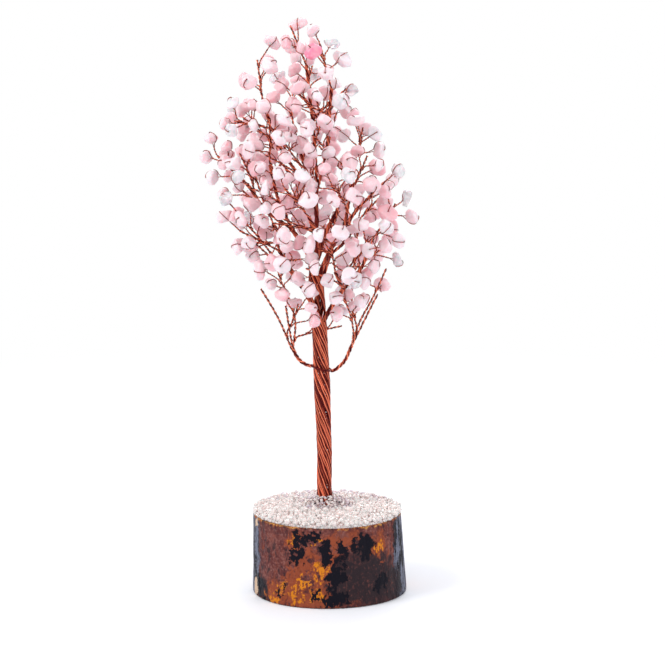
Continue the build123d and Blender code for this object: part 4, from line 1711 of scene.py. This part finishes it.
@dataclass
class CrownWires:
    """Limbs, branches, stalks and twigs as twisted wires."""

    crown: Crown
    shape: StoneShape
    copper: Material
    first_seed: int = 100
    # Wires of a bundle take high and low tints in turn: painted highlight and painted shade, with a small
    # random slip.
    tints: tuple[float, ...] = (0.0, 0.85, 0.5, 0.25)
    tint_slips: Pair = (-0.05, 0.05)
    # One half of a twig's pair light, its loop middling and the other half dark: painted highlight and
    # painted shade.
    twig_light_and_shade_tints: tuple[float, ...] = (0.85, 0.4, 0.0)
    bundle_share: float = 1.12
    branch_back: float = 1.2
    stalk_back: float = 2.2
    root_share: float = 0.45
    limb_roots: Pair = (5.0, 2.5)
    arm_root: Pair = (1.6, 1.2)
    pitch_shares: Pair = (0.85, 1.15)
    thick_wire: float = 1.0
    thick_sides: int = 8
    sides: int = 6
    twig_wire_share: float = 1.2
    twig_back: float = 1.5
    twig_aside: float = 0.1
    twig_pitches: Pair = (1.8, 2.5)
    crooks: Pair = (-0.25, 0.25)
    crook_share: float = 0.55
    neck_run: float = 0.9
    loop_gap_share: float = 0.9
    loop_lift: float = 0.15
    stem_step: float = 0.22
    loop_step: float = 0.40
    loop_angles: tuple[float, ...] = (9.0, 24.0, 45.0, 68.0, 90.0, 112.0, 135.0, 156.0)
    bend_run: Pair = (1.5, 4.0)
    dice: random.Random = field(init=False)

    def bundle(self, builder: MeshBuilder, wire: Wire) -> None:
        """Add one bundle of twisted wires.

        Args:
            builder: where it goes.
            wire: the bundle.
        """
        count, pitch, share = wire.lay.value
        radius = wire.diameter / 2 * share
        spread = wire.diameter / 2 * self.bundle_share - radius
        points = list(wire.points)
        if wire.base is not None:
            back = wire.diameter * (self.stalk_back if wire.lay is Lay.STALK else self.branch_back)
            aside = square_to(wire.points[0] - wire.base, wire.carrier)
            lean = unit(aside) if np.linalg.norm(aside) > STRAIGHT else sides_of(wire.carrier)[0]
            points.insert(0, wire.base - wire.carrier * back + lean * wire.diameter * self.root_share)
        elif wire.lay is Lay.LIMB:
            strand, height, _ = self.crown.plan.limb_rows[wire.body - 1]
            points = [self.crown.rope.point(strand, height - below) for below in self.limb_roots] + points
        elif wire.lay is Lay.ARM:
            side = -1 if self.crown.names[wire.body] == "left_arm" else 1
            points = [points[0] - np.array([side * self.arm_root[0], self.arm_root[1], 0.0])] + points
        path = rounded(points, pitch / 10)
        pitch = pitch * self.dice.uniform(*self.pitch_shares)
        for number, line in enumerate(twisted(path, count, spread, pitch, self.dice.uniform(*PHASES))):
            # The wire's tint gives painted highlight or painted shade.
            tint = self.tints[number] + self.dice.uniform(*self.tint_slips)
            sides = self.thick_sides if wire.diameter > self.thick_wire else self.sides
            builder.tube(line, radius, sides, tint)

    def twig(self, builder: MeshBuilder, twig: Twig, seed: int) -> None:
        """Add one twig: a wire that goes up the stem, through the chip, close round it and down again.

        Args:
            builder: where it goes.
            twig: the twig.
            seed: its chip's own facets.
        """
        sizes = self.crown.sizes
        x, y = spun(twig.direction, twig.spin)
        stem = sizes.stem(twig.pattern)
        neck = stem - sizes.neck_drop
        middle = stem + sizes.chip[2] * sizes.chip_size_shares[twig.pattern] / 2
        wire = sizes.wire * self.twig_wire_share / 2
        foot = twig.base - twig.carrier * self.twig_back
        aside = square_to(twig.root - twig.base, twig.carrier)
        if np.linalg.norm(aside) > STRAIGHT:
            foot = foot + unit(aside) * (sizes.stalk / 2 + self.twig_aside)
        crook = x * self.dice.uniform(*self.crooks) + y * self.dice.uniform(*self.crooks)
        low = twig.root
        crooked = low + twig.direction * neck * self.crook_share + crook
        stem_path = rounded([foot, low, crooked, low + twig.direction * neck], self.stem_step)
        pitch = self.dice.uniform(*self.twig_pitches)
        pair = twisted(stem_path, 2, wire, pitch, self.dice.uniform(*PHASES))
        normals, reaches = self.shape.planes(twig.pattern, seed)
        angles = np.radians(np.array(self.loop_angles))
        ways = np.stack([np.zeros(len(angles)), np.sin(angles), np.cos(angles)], axis=1)
        spots = ways * (self.shape.distances(ways, normals, reaches) + wire * self.loop_gap_share)[:, None]
        top = spots[0][2] + self.loop_lift
        bend = low + twig.direction * (middle + top)
        around = [low + y * spot[1] + twig.direction * (middle + spot[2]) for spot in spots[1:]]
        loop = [pair[0][-1], low + twig.direction * (neck + self.neck_run), bend, *around, pair[1][-1]]
        loop_path = rounded(loop, self.loop_step)
        line = np.concatenate([pair[0][:-1], loop_path, pair[1][-2::-1]])
        counts = (len(pair[0]) - 1, len(loop_path), len(pair[1]) - 1)
        # The twig's tints paint highlight on one half and shade on the other.
        builder.tube(line, wire, self.sides, np.repeat(self.twig_light_and_shade_tints, counts))

    def build(self) -> None:
        """Make the pieces of each limb and attach them to its body, apart from each limb's and arm's bundle,
        whose transform is only baked in place.
        """
        for body, name in enumerate(self.crown.names):
            label = "leader" if body == 0 else name
            self.dice = random.Random(self.first_seed + body)
            bundles, stalks, twigs = MeshBuilder(), MeshBuilder(), MeshBuilder()
            for wire in self.crown.wires:
                if wire.body == body:
                    self.bundle(stalks if wire.lay is Lay.STALK else bundles, wire)
            for number, twig in enumerate(self.crown.twigs):
                if twig.body == body:
                    self.twig(twigs, twig, number)
            for builder, part in ((bundles, "bundle"), (stalks, "stalks"), (twigs, "twigs")):
                piece = builder.build(f"{label}_{part}_wires", self.copper)
                if body > 0 and part == "bundle":
                    hinge = self.crown.hinges[body]
                    first = next(wire for wire in self.crown.wires if wire.body == body)
                    run = unit(first.points[1] - first.points[0])
                    start, end = hinge.place - run * self.bend_run[0], hinge.place + run * self.bend_run[1]
                    tuple(start * METRE)
                    tuple(end * METRE)
                    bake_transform(piece)
                else:
                    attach(piece, name)
                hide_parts(f"{label}_{part}")
            LOG.info("%s: wires and twigs", label)


@dataclass
class Chips:
    """The drilled rose quartz chips."""

    crown: Crown
    shape: StoneShape
    quartz: Material
    seed: int = 23
    around: int = 36
    rows: int = 23
    bore_share: float = 0.8
    rim_share: float = 0.8
    dent: float = 0.05
    dent_scale: float = 1.9
    dent_shifts: Place = (3.7, 1.3, 2.1)
    bore_rings: Pair = (0.7, 0.3)
    least_tint: float = 0.24
    tint_shape: Pair = (1.9, 1.7)
    # Chips further out than this share of the outline lose tint towards clear, pale stone: painted backlight.
    painted_backlight_from: float = 0.84
    painted_backlight_slope: float = 2.4
    vivid_tint: float = 2.0
    vivid_place: Place = (-5.2, -13.0, 238.6)

    def shell(self, pattern: int, seed: int) -> Shell:
        """Vertices and faces of one chip, centred on its middle, with its bore along Z.

        Args:
            pattern: which of the frame's chips it is.
            seed: its own facets and unevenness.

        Returns:
            Vertices in millimetres, and faces.
        """
        sizes = self.crown.sizes
        normals, reaches = self.shape.planes(pattern, seed)
        bore = sizes.chip_bore / 2 * self.bore_share
        half = sizes.chip[2] * sizes.chip_size_shares[pattern] / 2
        first = math.atan2(bore, half * self.rim_share)
        tilts = np.linspace(first, math.pi - first, self.rows)
        turns = np.arange(self.around) * 2 * math.pi / self.around
        rings = []
        offset = Vector([seed * shift for shift in self.dent_shifts])
        for row, tilt in enumerate(tilts):
            flat, rise = math.sin(tilt), math.cos(tilt)
            ways = np.stack([flat * np.cos(turns), flat * np.sin(turns), np.full(self.around, rise)], axis=1)
            reach = self.shape.distances(ways, normals, reaches)
            dent = np.array([noise.noise(Vector(way) * self.dent_scale + offset) for way in ways])
            ring = ways * (reach * (1.0 - self.dent * np.abs(dent)))[:, None]
            if row in (0, self.rows - 1):
                ring[:, 0] = bore * np.cos(turns)
                ring[:, 1] = bore * np.sin(turns)
            rings.append(ring)
        for share in self.bore_rings:
            level = rings[self.rows - 1][:, 2] * share + rings[0][:, 2] * (1 - share)
            rings.append(np.stack([bore * np.cos(turns), bore * np.sin(turns), level], axis=1))
        faces = [(a, d, c, b) for a, b, c, d in sleeve_faces(len(rings), self.around, closed=True)]
        return np.concatenate(rings), faces

    def build(self) -> None:
        """Make the chips of each limb as one piece, each chip closed by itself."""
        dice = random.Random(self.seed)
        place = np.array(self.vivid_place)
        middle = self.crown.chip_middle
        vivid = min(self.crown.twigs, key=lambda twig: np.linalg.norm(middle(twig) - place))
        for body, name in enumerate(self.crown.names):
            label = "leader" if body == 0 else name
            builder = MeshBuilder()
            for number, twig in enumerate(self.crown.twigs):
                if twig.body != body:
                    continue
                vertices, faces = self.shell(twig.pattern, number)
                centre = middle(twig)
                placed = centre + vertices @ np.stack([*spun(twig.direction, twig.spin), twig.direction])
                # Chips near the crown's outline lose tint towards clear, pale stone: painted backlight.
                outside = max(0.0, self.crown.plan.reach(centre) - self.painted_backlight_from)
                tint = self.least_tint + (1.0 - self.least_tint) * dice.betavariate(*self.tint_shape)
                tint = min(max(tint - outside * self.painted_backlight_slope, 0.0), 1.0)
                tint = self.vivid_tint if twig is vivid else tint
                builder.add(placed, faces, tint)
            piece = builder.build(f"{label}_quartz_chips", self.quartz)
            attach(piece, name)
            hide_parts(f"{label}_chips")
            LOG.info("%s: chips", label)


def dress(name: str, material: Material) -> None:
    """Give a node of the frame a finish of its own.

    Args:
        name: name of the node.
        material: the finish.
    """
    materials = FRAME["nodes"][name].data.materials
    materials.clear()
    materials.append(material)


@dataclass
class WoodSlice:
    """The slice of wood with its bark."""

    bark: Material
    wood: Material
    height: float = SLICE_HEIGHT
    top: float = 66.0
    foot: float = 69.0
    shift: float = 1.0
    thickness: float = 2.6
    waver: float = 0.5
    edge: float = 1.1
    upper_edge: float = 0.5
    around: int = 420
    rows: int = 74
    skin: float = 0.02
    wave_depth: float = 0.16
    groove_depth: float = 0.30
    groove_width: float = 0.09
    flake_depth: float = 0.08
    pit_depth: float = 0.5
    pit_level: float = 0.25

    def reach(self, turn: float, height: float) -> float:
        """Distance of the bark's surface from its centre line.

        Args:
            turn: angle round the slice.
            height: height over the floor.

        Returns:
            The distance.
        """
        share = height / self.height
        radius = (self.foot + (self.top - self.foot) * share) / 2
        wave = self.waver * (math.sin(2 * turn + 0.6) + math.sin(3 * turn + 2.0 + share)) / 2
        return radius - self.waver + wave

    def relief(self, turn: float, height: float) -> float:
        """Depth of the bark's fissures, flakes and pits at a point.

        Args:
            turn: angle round the slice.
            height: height over the floor.

        Returns:
            The depth.
        """
        x, y = math.cos(turn), math.sin(turn)
        wave = abs(noise.fractal(Vector((x * 7.0, y * 7.0, height * 0.045)), 0.9, 2.1, 4))
        ridge = abs(noise.noise(Vector((x * 11.0 + 5.0, y * 11.0, height * 0.05 + 2.0))))
        flake = abs(noise.noise(Vector((x * 16.0, y * 16.0 + 9.0, height * 0.22))))
        pit = noise.noise(Vector((x * 5.0 + 1.0, y * 5.0, height * 0.12 + 7.0)))
        groove = max(0.0, self.groove_width - ridge) / self.groove_width
        depth = self.skin + self.wave_depth * wave + self.groove_depth * groove + self.flake_depth * flake
        return depth + self.pit_depth * max(0.0, pit - self.pit_level)

    def ring(self, height: float, inset: float, rough: bool) -> list[Place]:
        """Points round the slice at a height.

        Args:
            height: height over the floor.
            inset: how far inside the bark's surface.
            rough: whether they have the bark's relief.

        Returns:
            The points.
        """
        shift = self.shift * (1 - height / self.height)
        points = []
        for index in range(self.around):
            turn = 2 * math.pi * index / self.around
            reach = self.reach(turn, height) - inset - (self.relief(turn, height) if rough else 0.0)
            points.append((shift + reach * math.cos(turn), reach * math.sin(turn), height))
        return points

    def build(self) -> None:
        """Make the bark as a closed sleeve, and dress the wood."""
        rings = []
        for row in range(self.rows + 1):
            height = self.height * row / self.rows
            below = max(0.0, self.edge - height)
            above = max(0.0, self.upper_edge - (self.height - height))
            pull = self.edge - math.sqrt(max(self.edge**2 - below**2, 0.0)) + above * above
            rings.append(self.ring(height, pull, rough=True))
        for height in (self.height, self.height / 2, 0.0):
            rings.append(self.ring(height, self.thickness, rough=False))
        faces = sleeve_faces(len(rings), self.around, closed=True)
        builder = MeshBuilder()
        builder.add(np.array(rings).reshape(-1, 3), faces)
        piece = builder.build("bark_skin", self.bark)
        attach(piece, "trunk")
        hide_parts("bark")
        dress("wood_slice", self.wood)
        LOG.info("wood slice: bark of %d faces", len(faces))


@dataclass
class GravelBed:
    """Crushed quartz on the glue bed: coarse out to the rim, fine and greyer round the trunk."""

    gravel: Material
    glue: Material
    rope: RopePlan
    edge: float = 31.8
    bed_thickness: float = 3.2
    bed_fall: float = 2.0
    over_edge: float = 0.5
    spacing: float = 1.06
    templates: int = 26
    corners: int = 12
    corner_turns: Pair = (-0.4, 0.4)
    corner_reaches: Pair = (0.72, 1.0)
    shard_depth: float = 0.8
    shard_height: float = 0.7
    seed: int = 41
    layers: int = 3
    least_lift: float = 0.35
    rim_from: float = 0.80
    heart_to: float = 0.42
    sizes: Pair = (1.0, 2.0)
    heart_size: float = 0.62
    sinks: Pair = (0.05, 0.45)
    turn_slips: Pair = (-0.03, 0.03)
    front_from: float = -12.0
    front_odds: float = 0.5
    front_size: float = 1.25
    trunk_level: float = 38.0
    trunk_reach: float = 3.2
    trunk_share: float = 0.25
    field_tint: float = 0.58
    field_tint_most: float = 0.84
    behind_tint: float = 0.35
    fringe: int = 230
    fringe_sizes: Pair = (0.8, 1.5)
    fringe_rise: float = 0.62
    fringe_reach: float = 0.3
    fringe_slips: Pair = (0.0, 0.7)
    fringe_tint: float = 0.5
    fringe_behind_tint: float = 0.3
    collar: int = 44
    collar_reach: float = 3.8
    collar_sizes: Pair = (0.55, 0.95)
    collar_slips: Pair = (0.0, 0.6)
    collar_rises: Pair = (-0.6, 0.4)
    mound: float = 5.0
    mound_reach: float = 9.0
    specks: tuple[Pair, ...] = ((-5.2, -8.0), (5.4, -7.0))
    speck_size: float = 0.75
    speck_tint: float = 2.0
    speck_rise: float = 0.9
    shards: list[Shell] = field(init=False)
    dice: random.Random = field(init=False)
    builders: dict[str, MeshBuilder] = field(init=False)

    def bed_height(self, radius: float) -> float:
        """Top of the glue bed at a distance from its centre."""
        share = min(radius / self.edge, 1.0)
        return SLICE_HEIGHT + self.bed_thickness - self.bed_fall * share * share

    def heap(self, radius: float) -> float:
        """How high the grains are heaped on the bed at a distance from its centre."""
        return self.mound * math.exp(-((radius / self.mound_reach) ** 2))

    def shard(self, seed: int) -> Shell:
        """A sharp-edged convex grain of about unit size.

        Args:
            seed: its own shape.

        Returns:
            Its vertices and faces.
        """
        dice = random.Random(seed)
        mesh = bmesh.new()
        for index in range(self.corners):
            rise = 1 - 2 * (index + 0.5) / self.corners
            turn = index * GOLDEN_TURN + dice.uniform(*self.corner_turns)
            flat = math.sqrt(1 - rise * rise)
            reach = dice.uniform(*self.corner_reaches)
            across = (reach * flat * math.cos(turn), reach * self.shard_depth * flat * math.sin(turn))
            mesh.verts.new((*across, reach * self.shard_height * rise))
        result = bmesh.ops.convex_hull(mesh, input=mesh.verts)
        loose = [item for item in result["geom_interior"] if isinstance(item, bmesh.types.BMVert)]
        bmesh.ops.delete(mesh, geom=loose, context="VERTS")
        mesh.verts.ensure_lookup_table()
        mesh.verts.index_update()
        vertices = np.array([vert.co[:] for vert in mesh.verts])
        faces = [tuple(vert.index for vert in face.verts) for face in mesh.faces]
        mesh.free()
        return vertices, faces

    def grain(self, size: float) -> Shell:
        """One of the shards at a size, turned at random.

        Args:
            size: the size.

        Returns:
            Its vertices and faces.
        """
        axis = unit(np.array([self.dice.gauss(0, 1) for _ in range(3)]))
        vertices, faces = self.shards[self.dice.randrange(len(self.shards))]
        x, y = sides_of(axis)
        return (vertices * size) @ np.stack([x, y, axis]), faces

    def strew_layer(self, layer: int) -> None:
        """Strew one layer of grains along a spiral from the middle outwards.

        Args:
            layer: 0 covers the bed, and the others heap up round the trunk.
        """
        index = 0
        while self.spacing * math.sqrt(index + 1) < self.edge + self.over_edge:
            index += 1
            radius = self.spacing * math.sqrt(index)
            lift = self.heap(radius) * layer / (self.layers - 1)
            if layer > 0 and lift < self.least_lift:
                break
            turn = index * GOLDEN_TURN + self.dice.uniform(*self.turn_slips) + layer
            share = radius / self.edge
            heart = share < self.heart_to
            name = "gravel_rim" if share > self.rim_from else "gravel_heart" if heart else "gravel_field"
            size = self.dice.uniform(*self.sizes) * (self.heart_size if heart else 1.0)
            place = on_circle(radius, turn, 0.0)
            away = math.hypot(place[0] - self.rope.lean(self.trunk_level), place[1])
            if away < self.trunk_reach + size * self.trunk_share:
                continue
            if place[1] < self.front_from and self.dice.random() < self.front_odds:
                size = size * self.front_size
            place[2] = self.bed_height(radius) + lift + size * self.dice.uniform(*self.sinks)
            vertices, faces = self.grain(size)
            behind = max(0.0, place[1] / self.edge) * self.behind_tint
            tint = self.dice.random() * (1.0 if heart else self.field_tint) + behind
            tint = min(tint, 1.0 if heart else self.field_tint_most)
            self.builders[name].add(place + vertices, faces, tint)

    def strew_fringe(self) -> None:
        """Strew a row of grains along the rim of the wood."""
        for index in range(self.fringe):
            turn = 2 * math.pi * (index + self.dice.random()) / self.fringe
            size = self.dice.uniform(*self.fringe_sizes)
            radius = self.edge + self.fringe_reach - self.dice.uniform(*self.fringe_slips)
            place = on_circle(radius, turn, SLICE_HEIGHT + size * self.fringe_rise)
            vertices, faces = self.grain(size)
            tint = self.dice.random() * self.fringe_tint + max(0.0, math.sin(turn)) * self.fringe_behind_tint
            self.builders["gravel_rim"].add(place + vertices, faces, tint)

    def strew_collar(self) -> None:
        """Strew fine grains against the trunk, and two black specks before it."""
        heart = self.builders["gravel_heart"]
        for index in range(self.collar):
            turn = 2 * math.pi * (index + self.dice.random()) / self.collar
            size = self.dice.uniform(*self.collar_sizes)
            radius = self.collar_reach + self.dice.uniform(*self.collar_slips)
            height = self.bed_height(radius) + self.heap(radius)
            place = on_circle(radius, turn, height + self.dice.uniform(*self.collar_rises))
            place[0] += self.rope.lean(SLICE_HEIGHT)
            vertices, faces = self.grain(size)
            heart.add(place + vertices, faces, self.dice.random())
        for x, y in self.specks:
            radius = math.hypot(x, y)
            place = np.array([x, y, self.bed_height(radius) + self.heap(radius) + self.speck_rise])
            vertices, faces = self.shards[0]
            heart.add(place + vertices * self.speck_size, faces, self.speck_tint)

    def build(self) -> None:
        """Strew the grains, in three pieces from the rim inwards."""
        self.shards = [self.shard(seed) for seed in range(self.templates)]
        self.dice = random.Random(self.seed)
        self.builders = {f"gravel_{part}": MeshBuilder() for part in ("rim", "field", "heart")}
        for layer in range(self.layers):
            self.strew_layer(layer)
        self.strew_fringe()
        self.strew_collar()
        for name, builder in self.builders.items():
            piece = builder.build(f"{name}_grains", self.gravel, smooth=False)
            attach(piece, "trunk")
            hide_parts(name)
        dress("glue_bed", self.glue)
        LOG.info("gravel bed: %d layers", self.layers)


@dataclass(frozen=True)
class Lamp:
    """A square soft lamp: its name, place in metres, side of its face, power in watts and colour."""

    name: str
    place: Place
    size: float
    power: float
    colour: Colour

    def build(self, aim: Place) -> None:
        """Hang the lamp.

        Args:
            aim: the point that it faces.
        """
        data = bpy.data.lights.new(self.name, "AREA")
        data.size = self.size
        data.energy = self.power
        data.color = self.colour
        lamp = linked(self.name, data)
        lamp.location = self.place
        lamp.rotation_euler = (Vector(aim) - Vector(self.place)).to_track_quat("-Z", "Y").to_euler()


@dataclass
class Studio:
    """Floor, light and camera of the photograph."""

    white: Colour = (1.0, 1.0, 1.0)
    sky: Colour = (0.95, 0.965, 1.0)
    sky_strength: float = 0.83
    distance: float = 1.25
    elevation: float = 10.0
    target: Place = (0.0024, 0.0, 0.1157)
    frame_width: float = 0.2905
    sensor: float = 36.0
    clip_end: float = 30.0
    floor: Colour = (0.80, 0.81, 0.84)
    floor_reach: float = 2.5
    floor_fade: Pair = (0.16, 0.60)
    glow: Colour = (0.97, 0.975, 1.0)
    glow_strength: float = 0.17
    lamp_aim: Place = (0.0, 0.0, 0.12)
    lamps: tuple[Lamp, ...] = (
        Lamp("key_lamp", (-0.85, -0.55, 0.95), 0.5, 7.2, (1.0, 0.98, 0.96)),
        Lamp("fill_lamp", (0.95, -0.65, 0.55), 0.8, 3.2, (0.96, 0.97, 1.0)),
        Lamp("back_lamp", (0.15, 0.95, 0.80), 0.7, 5.0, (1.0, 1.0, 1.0)),
    )

    def build_world(self) -> None:
        """White where the camera, gloss and clear stone look, and a plain level elsewhere."""
        world = bpy.data.worlds.new("studio")
        world.use_nodes = True
        tree = NodeTree(world.node_tree)
        plain = tree.node("ShaderNodeBackground", {}, {"Color": self.sky, "Strength": self.sky_strength})
        white = tree.node("ShaderNodeBackground", {}, {"Color": self.white, "Strength": 1.0})
        shown = tree.node("ShaderNodeMixShader", {}, {0: tree.seen(), 1: plain, 2: white})
        tree.put(tree.tree.nodes.new("ShaderNodeOutputWorld").inputs[0], shown)
        bpy.context.scene.world = world

    def build_floor(self) -> None:
        """A pale floor that takes the object's shadow and fades to white further out."""
        mesh = bpy.data.meshes.new("floor")
        reach = self.floor_reach
        corners = [(-reach, -reach, 0.0), (reach, -reach, 0.0), (reach, reach, 0.0), (-reach, reach, 0.0)]
        mesh.from_pydata(corners, [], [(0, 1, 2, 3)])
        floor = linked("floor", mesh)
        s = Shading("floor_white")
        s.finish(Base_Color=self.floor, Roughness=0.9, Specular_IOR_Level=0.0)
        seen = s.seen()
        x, y, _ = s.parts(s.place())
        far = ((x * x + y * y) ** 0.5).ramp(*self.floor_fade)
        glow = s.node("ShaderNodeEmission", {}, {"Color": self.glow, "Strength": self.glow_strength})
        lit = s.node("ShaderNodeAddShader", {}, {0: Socket(s, s.surface.outputs[0]), 1: glow})
        s.blend(seen, lit)
        s.blend(seen * far, s.node("ShaderNodeEmission", {}, {"Color": self.white}))
        mesh.materials.append(s.material)

    def build_camera(self) -> None:
        """The photograph's view."""
        data = bpy.data.cameras.new("camera")
        data.sensor_width = self.sensor
        data.lens = self.sensor * self.distance / self.frame_width
        data.clip_end = self.clip_end
        camera = linked("camera", data)
        angle = math.radians(self.elevation)
        target = Vector(self.target)
        camera.location = target + Vector((0.0, -math.cos(angle), math.sin(angle))) * self.distance
        camera.rotation_euler = (target - camera.location).to_track_quat("-Z", "Y").to_euler()
        bpy.context.scene.camera = camera

    def build(self) -> None:
        """Make the whole set."""
        bpy.context.scene.view_settings.view_transform = "Standard"
        self.build_world()
        self.build_floor()
        self.build_camera()
        for lamp in self.lamps:
            lamp.build(self.lamp_aim)
        LOG.info("studio: floor, lamps and camera")


def main() -> None:
    """Build the tree piece by piece."""
    logging.basicConfig(level=logging.INFO, format="%(name)s %(message)s")
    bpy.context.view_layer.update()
    Studio().build()
    copper = CopperFinish().material()
    rope = RopePlan()
    crown = Crown(rope, WirePlan(), CrownPlan())
    crown.lay_out()
    LOG.info("plan: %d twigs, %d wires", len(crown.twigs), len(crown.wires))
    WoodSlice(BarkFinish().material(), WoodFinish().material()).build()
    GravelBed(GravelFinish().material(), GlueFinish().material(), rope).build()
    TrunkWires(rope, crown, copper).build()
    shape = StoneShape(crown.sizes)
    CrownWires(crown, shape, copper).build()
    Chips(crown, shape, RoseQuartzFinish().material()).build()


if __name__ == "__main__":
    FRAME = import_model()
    main()
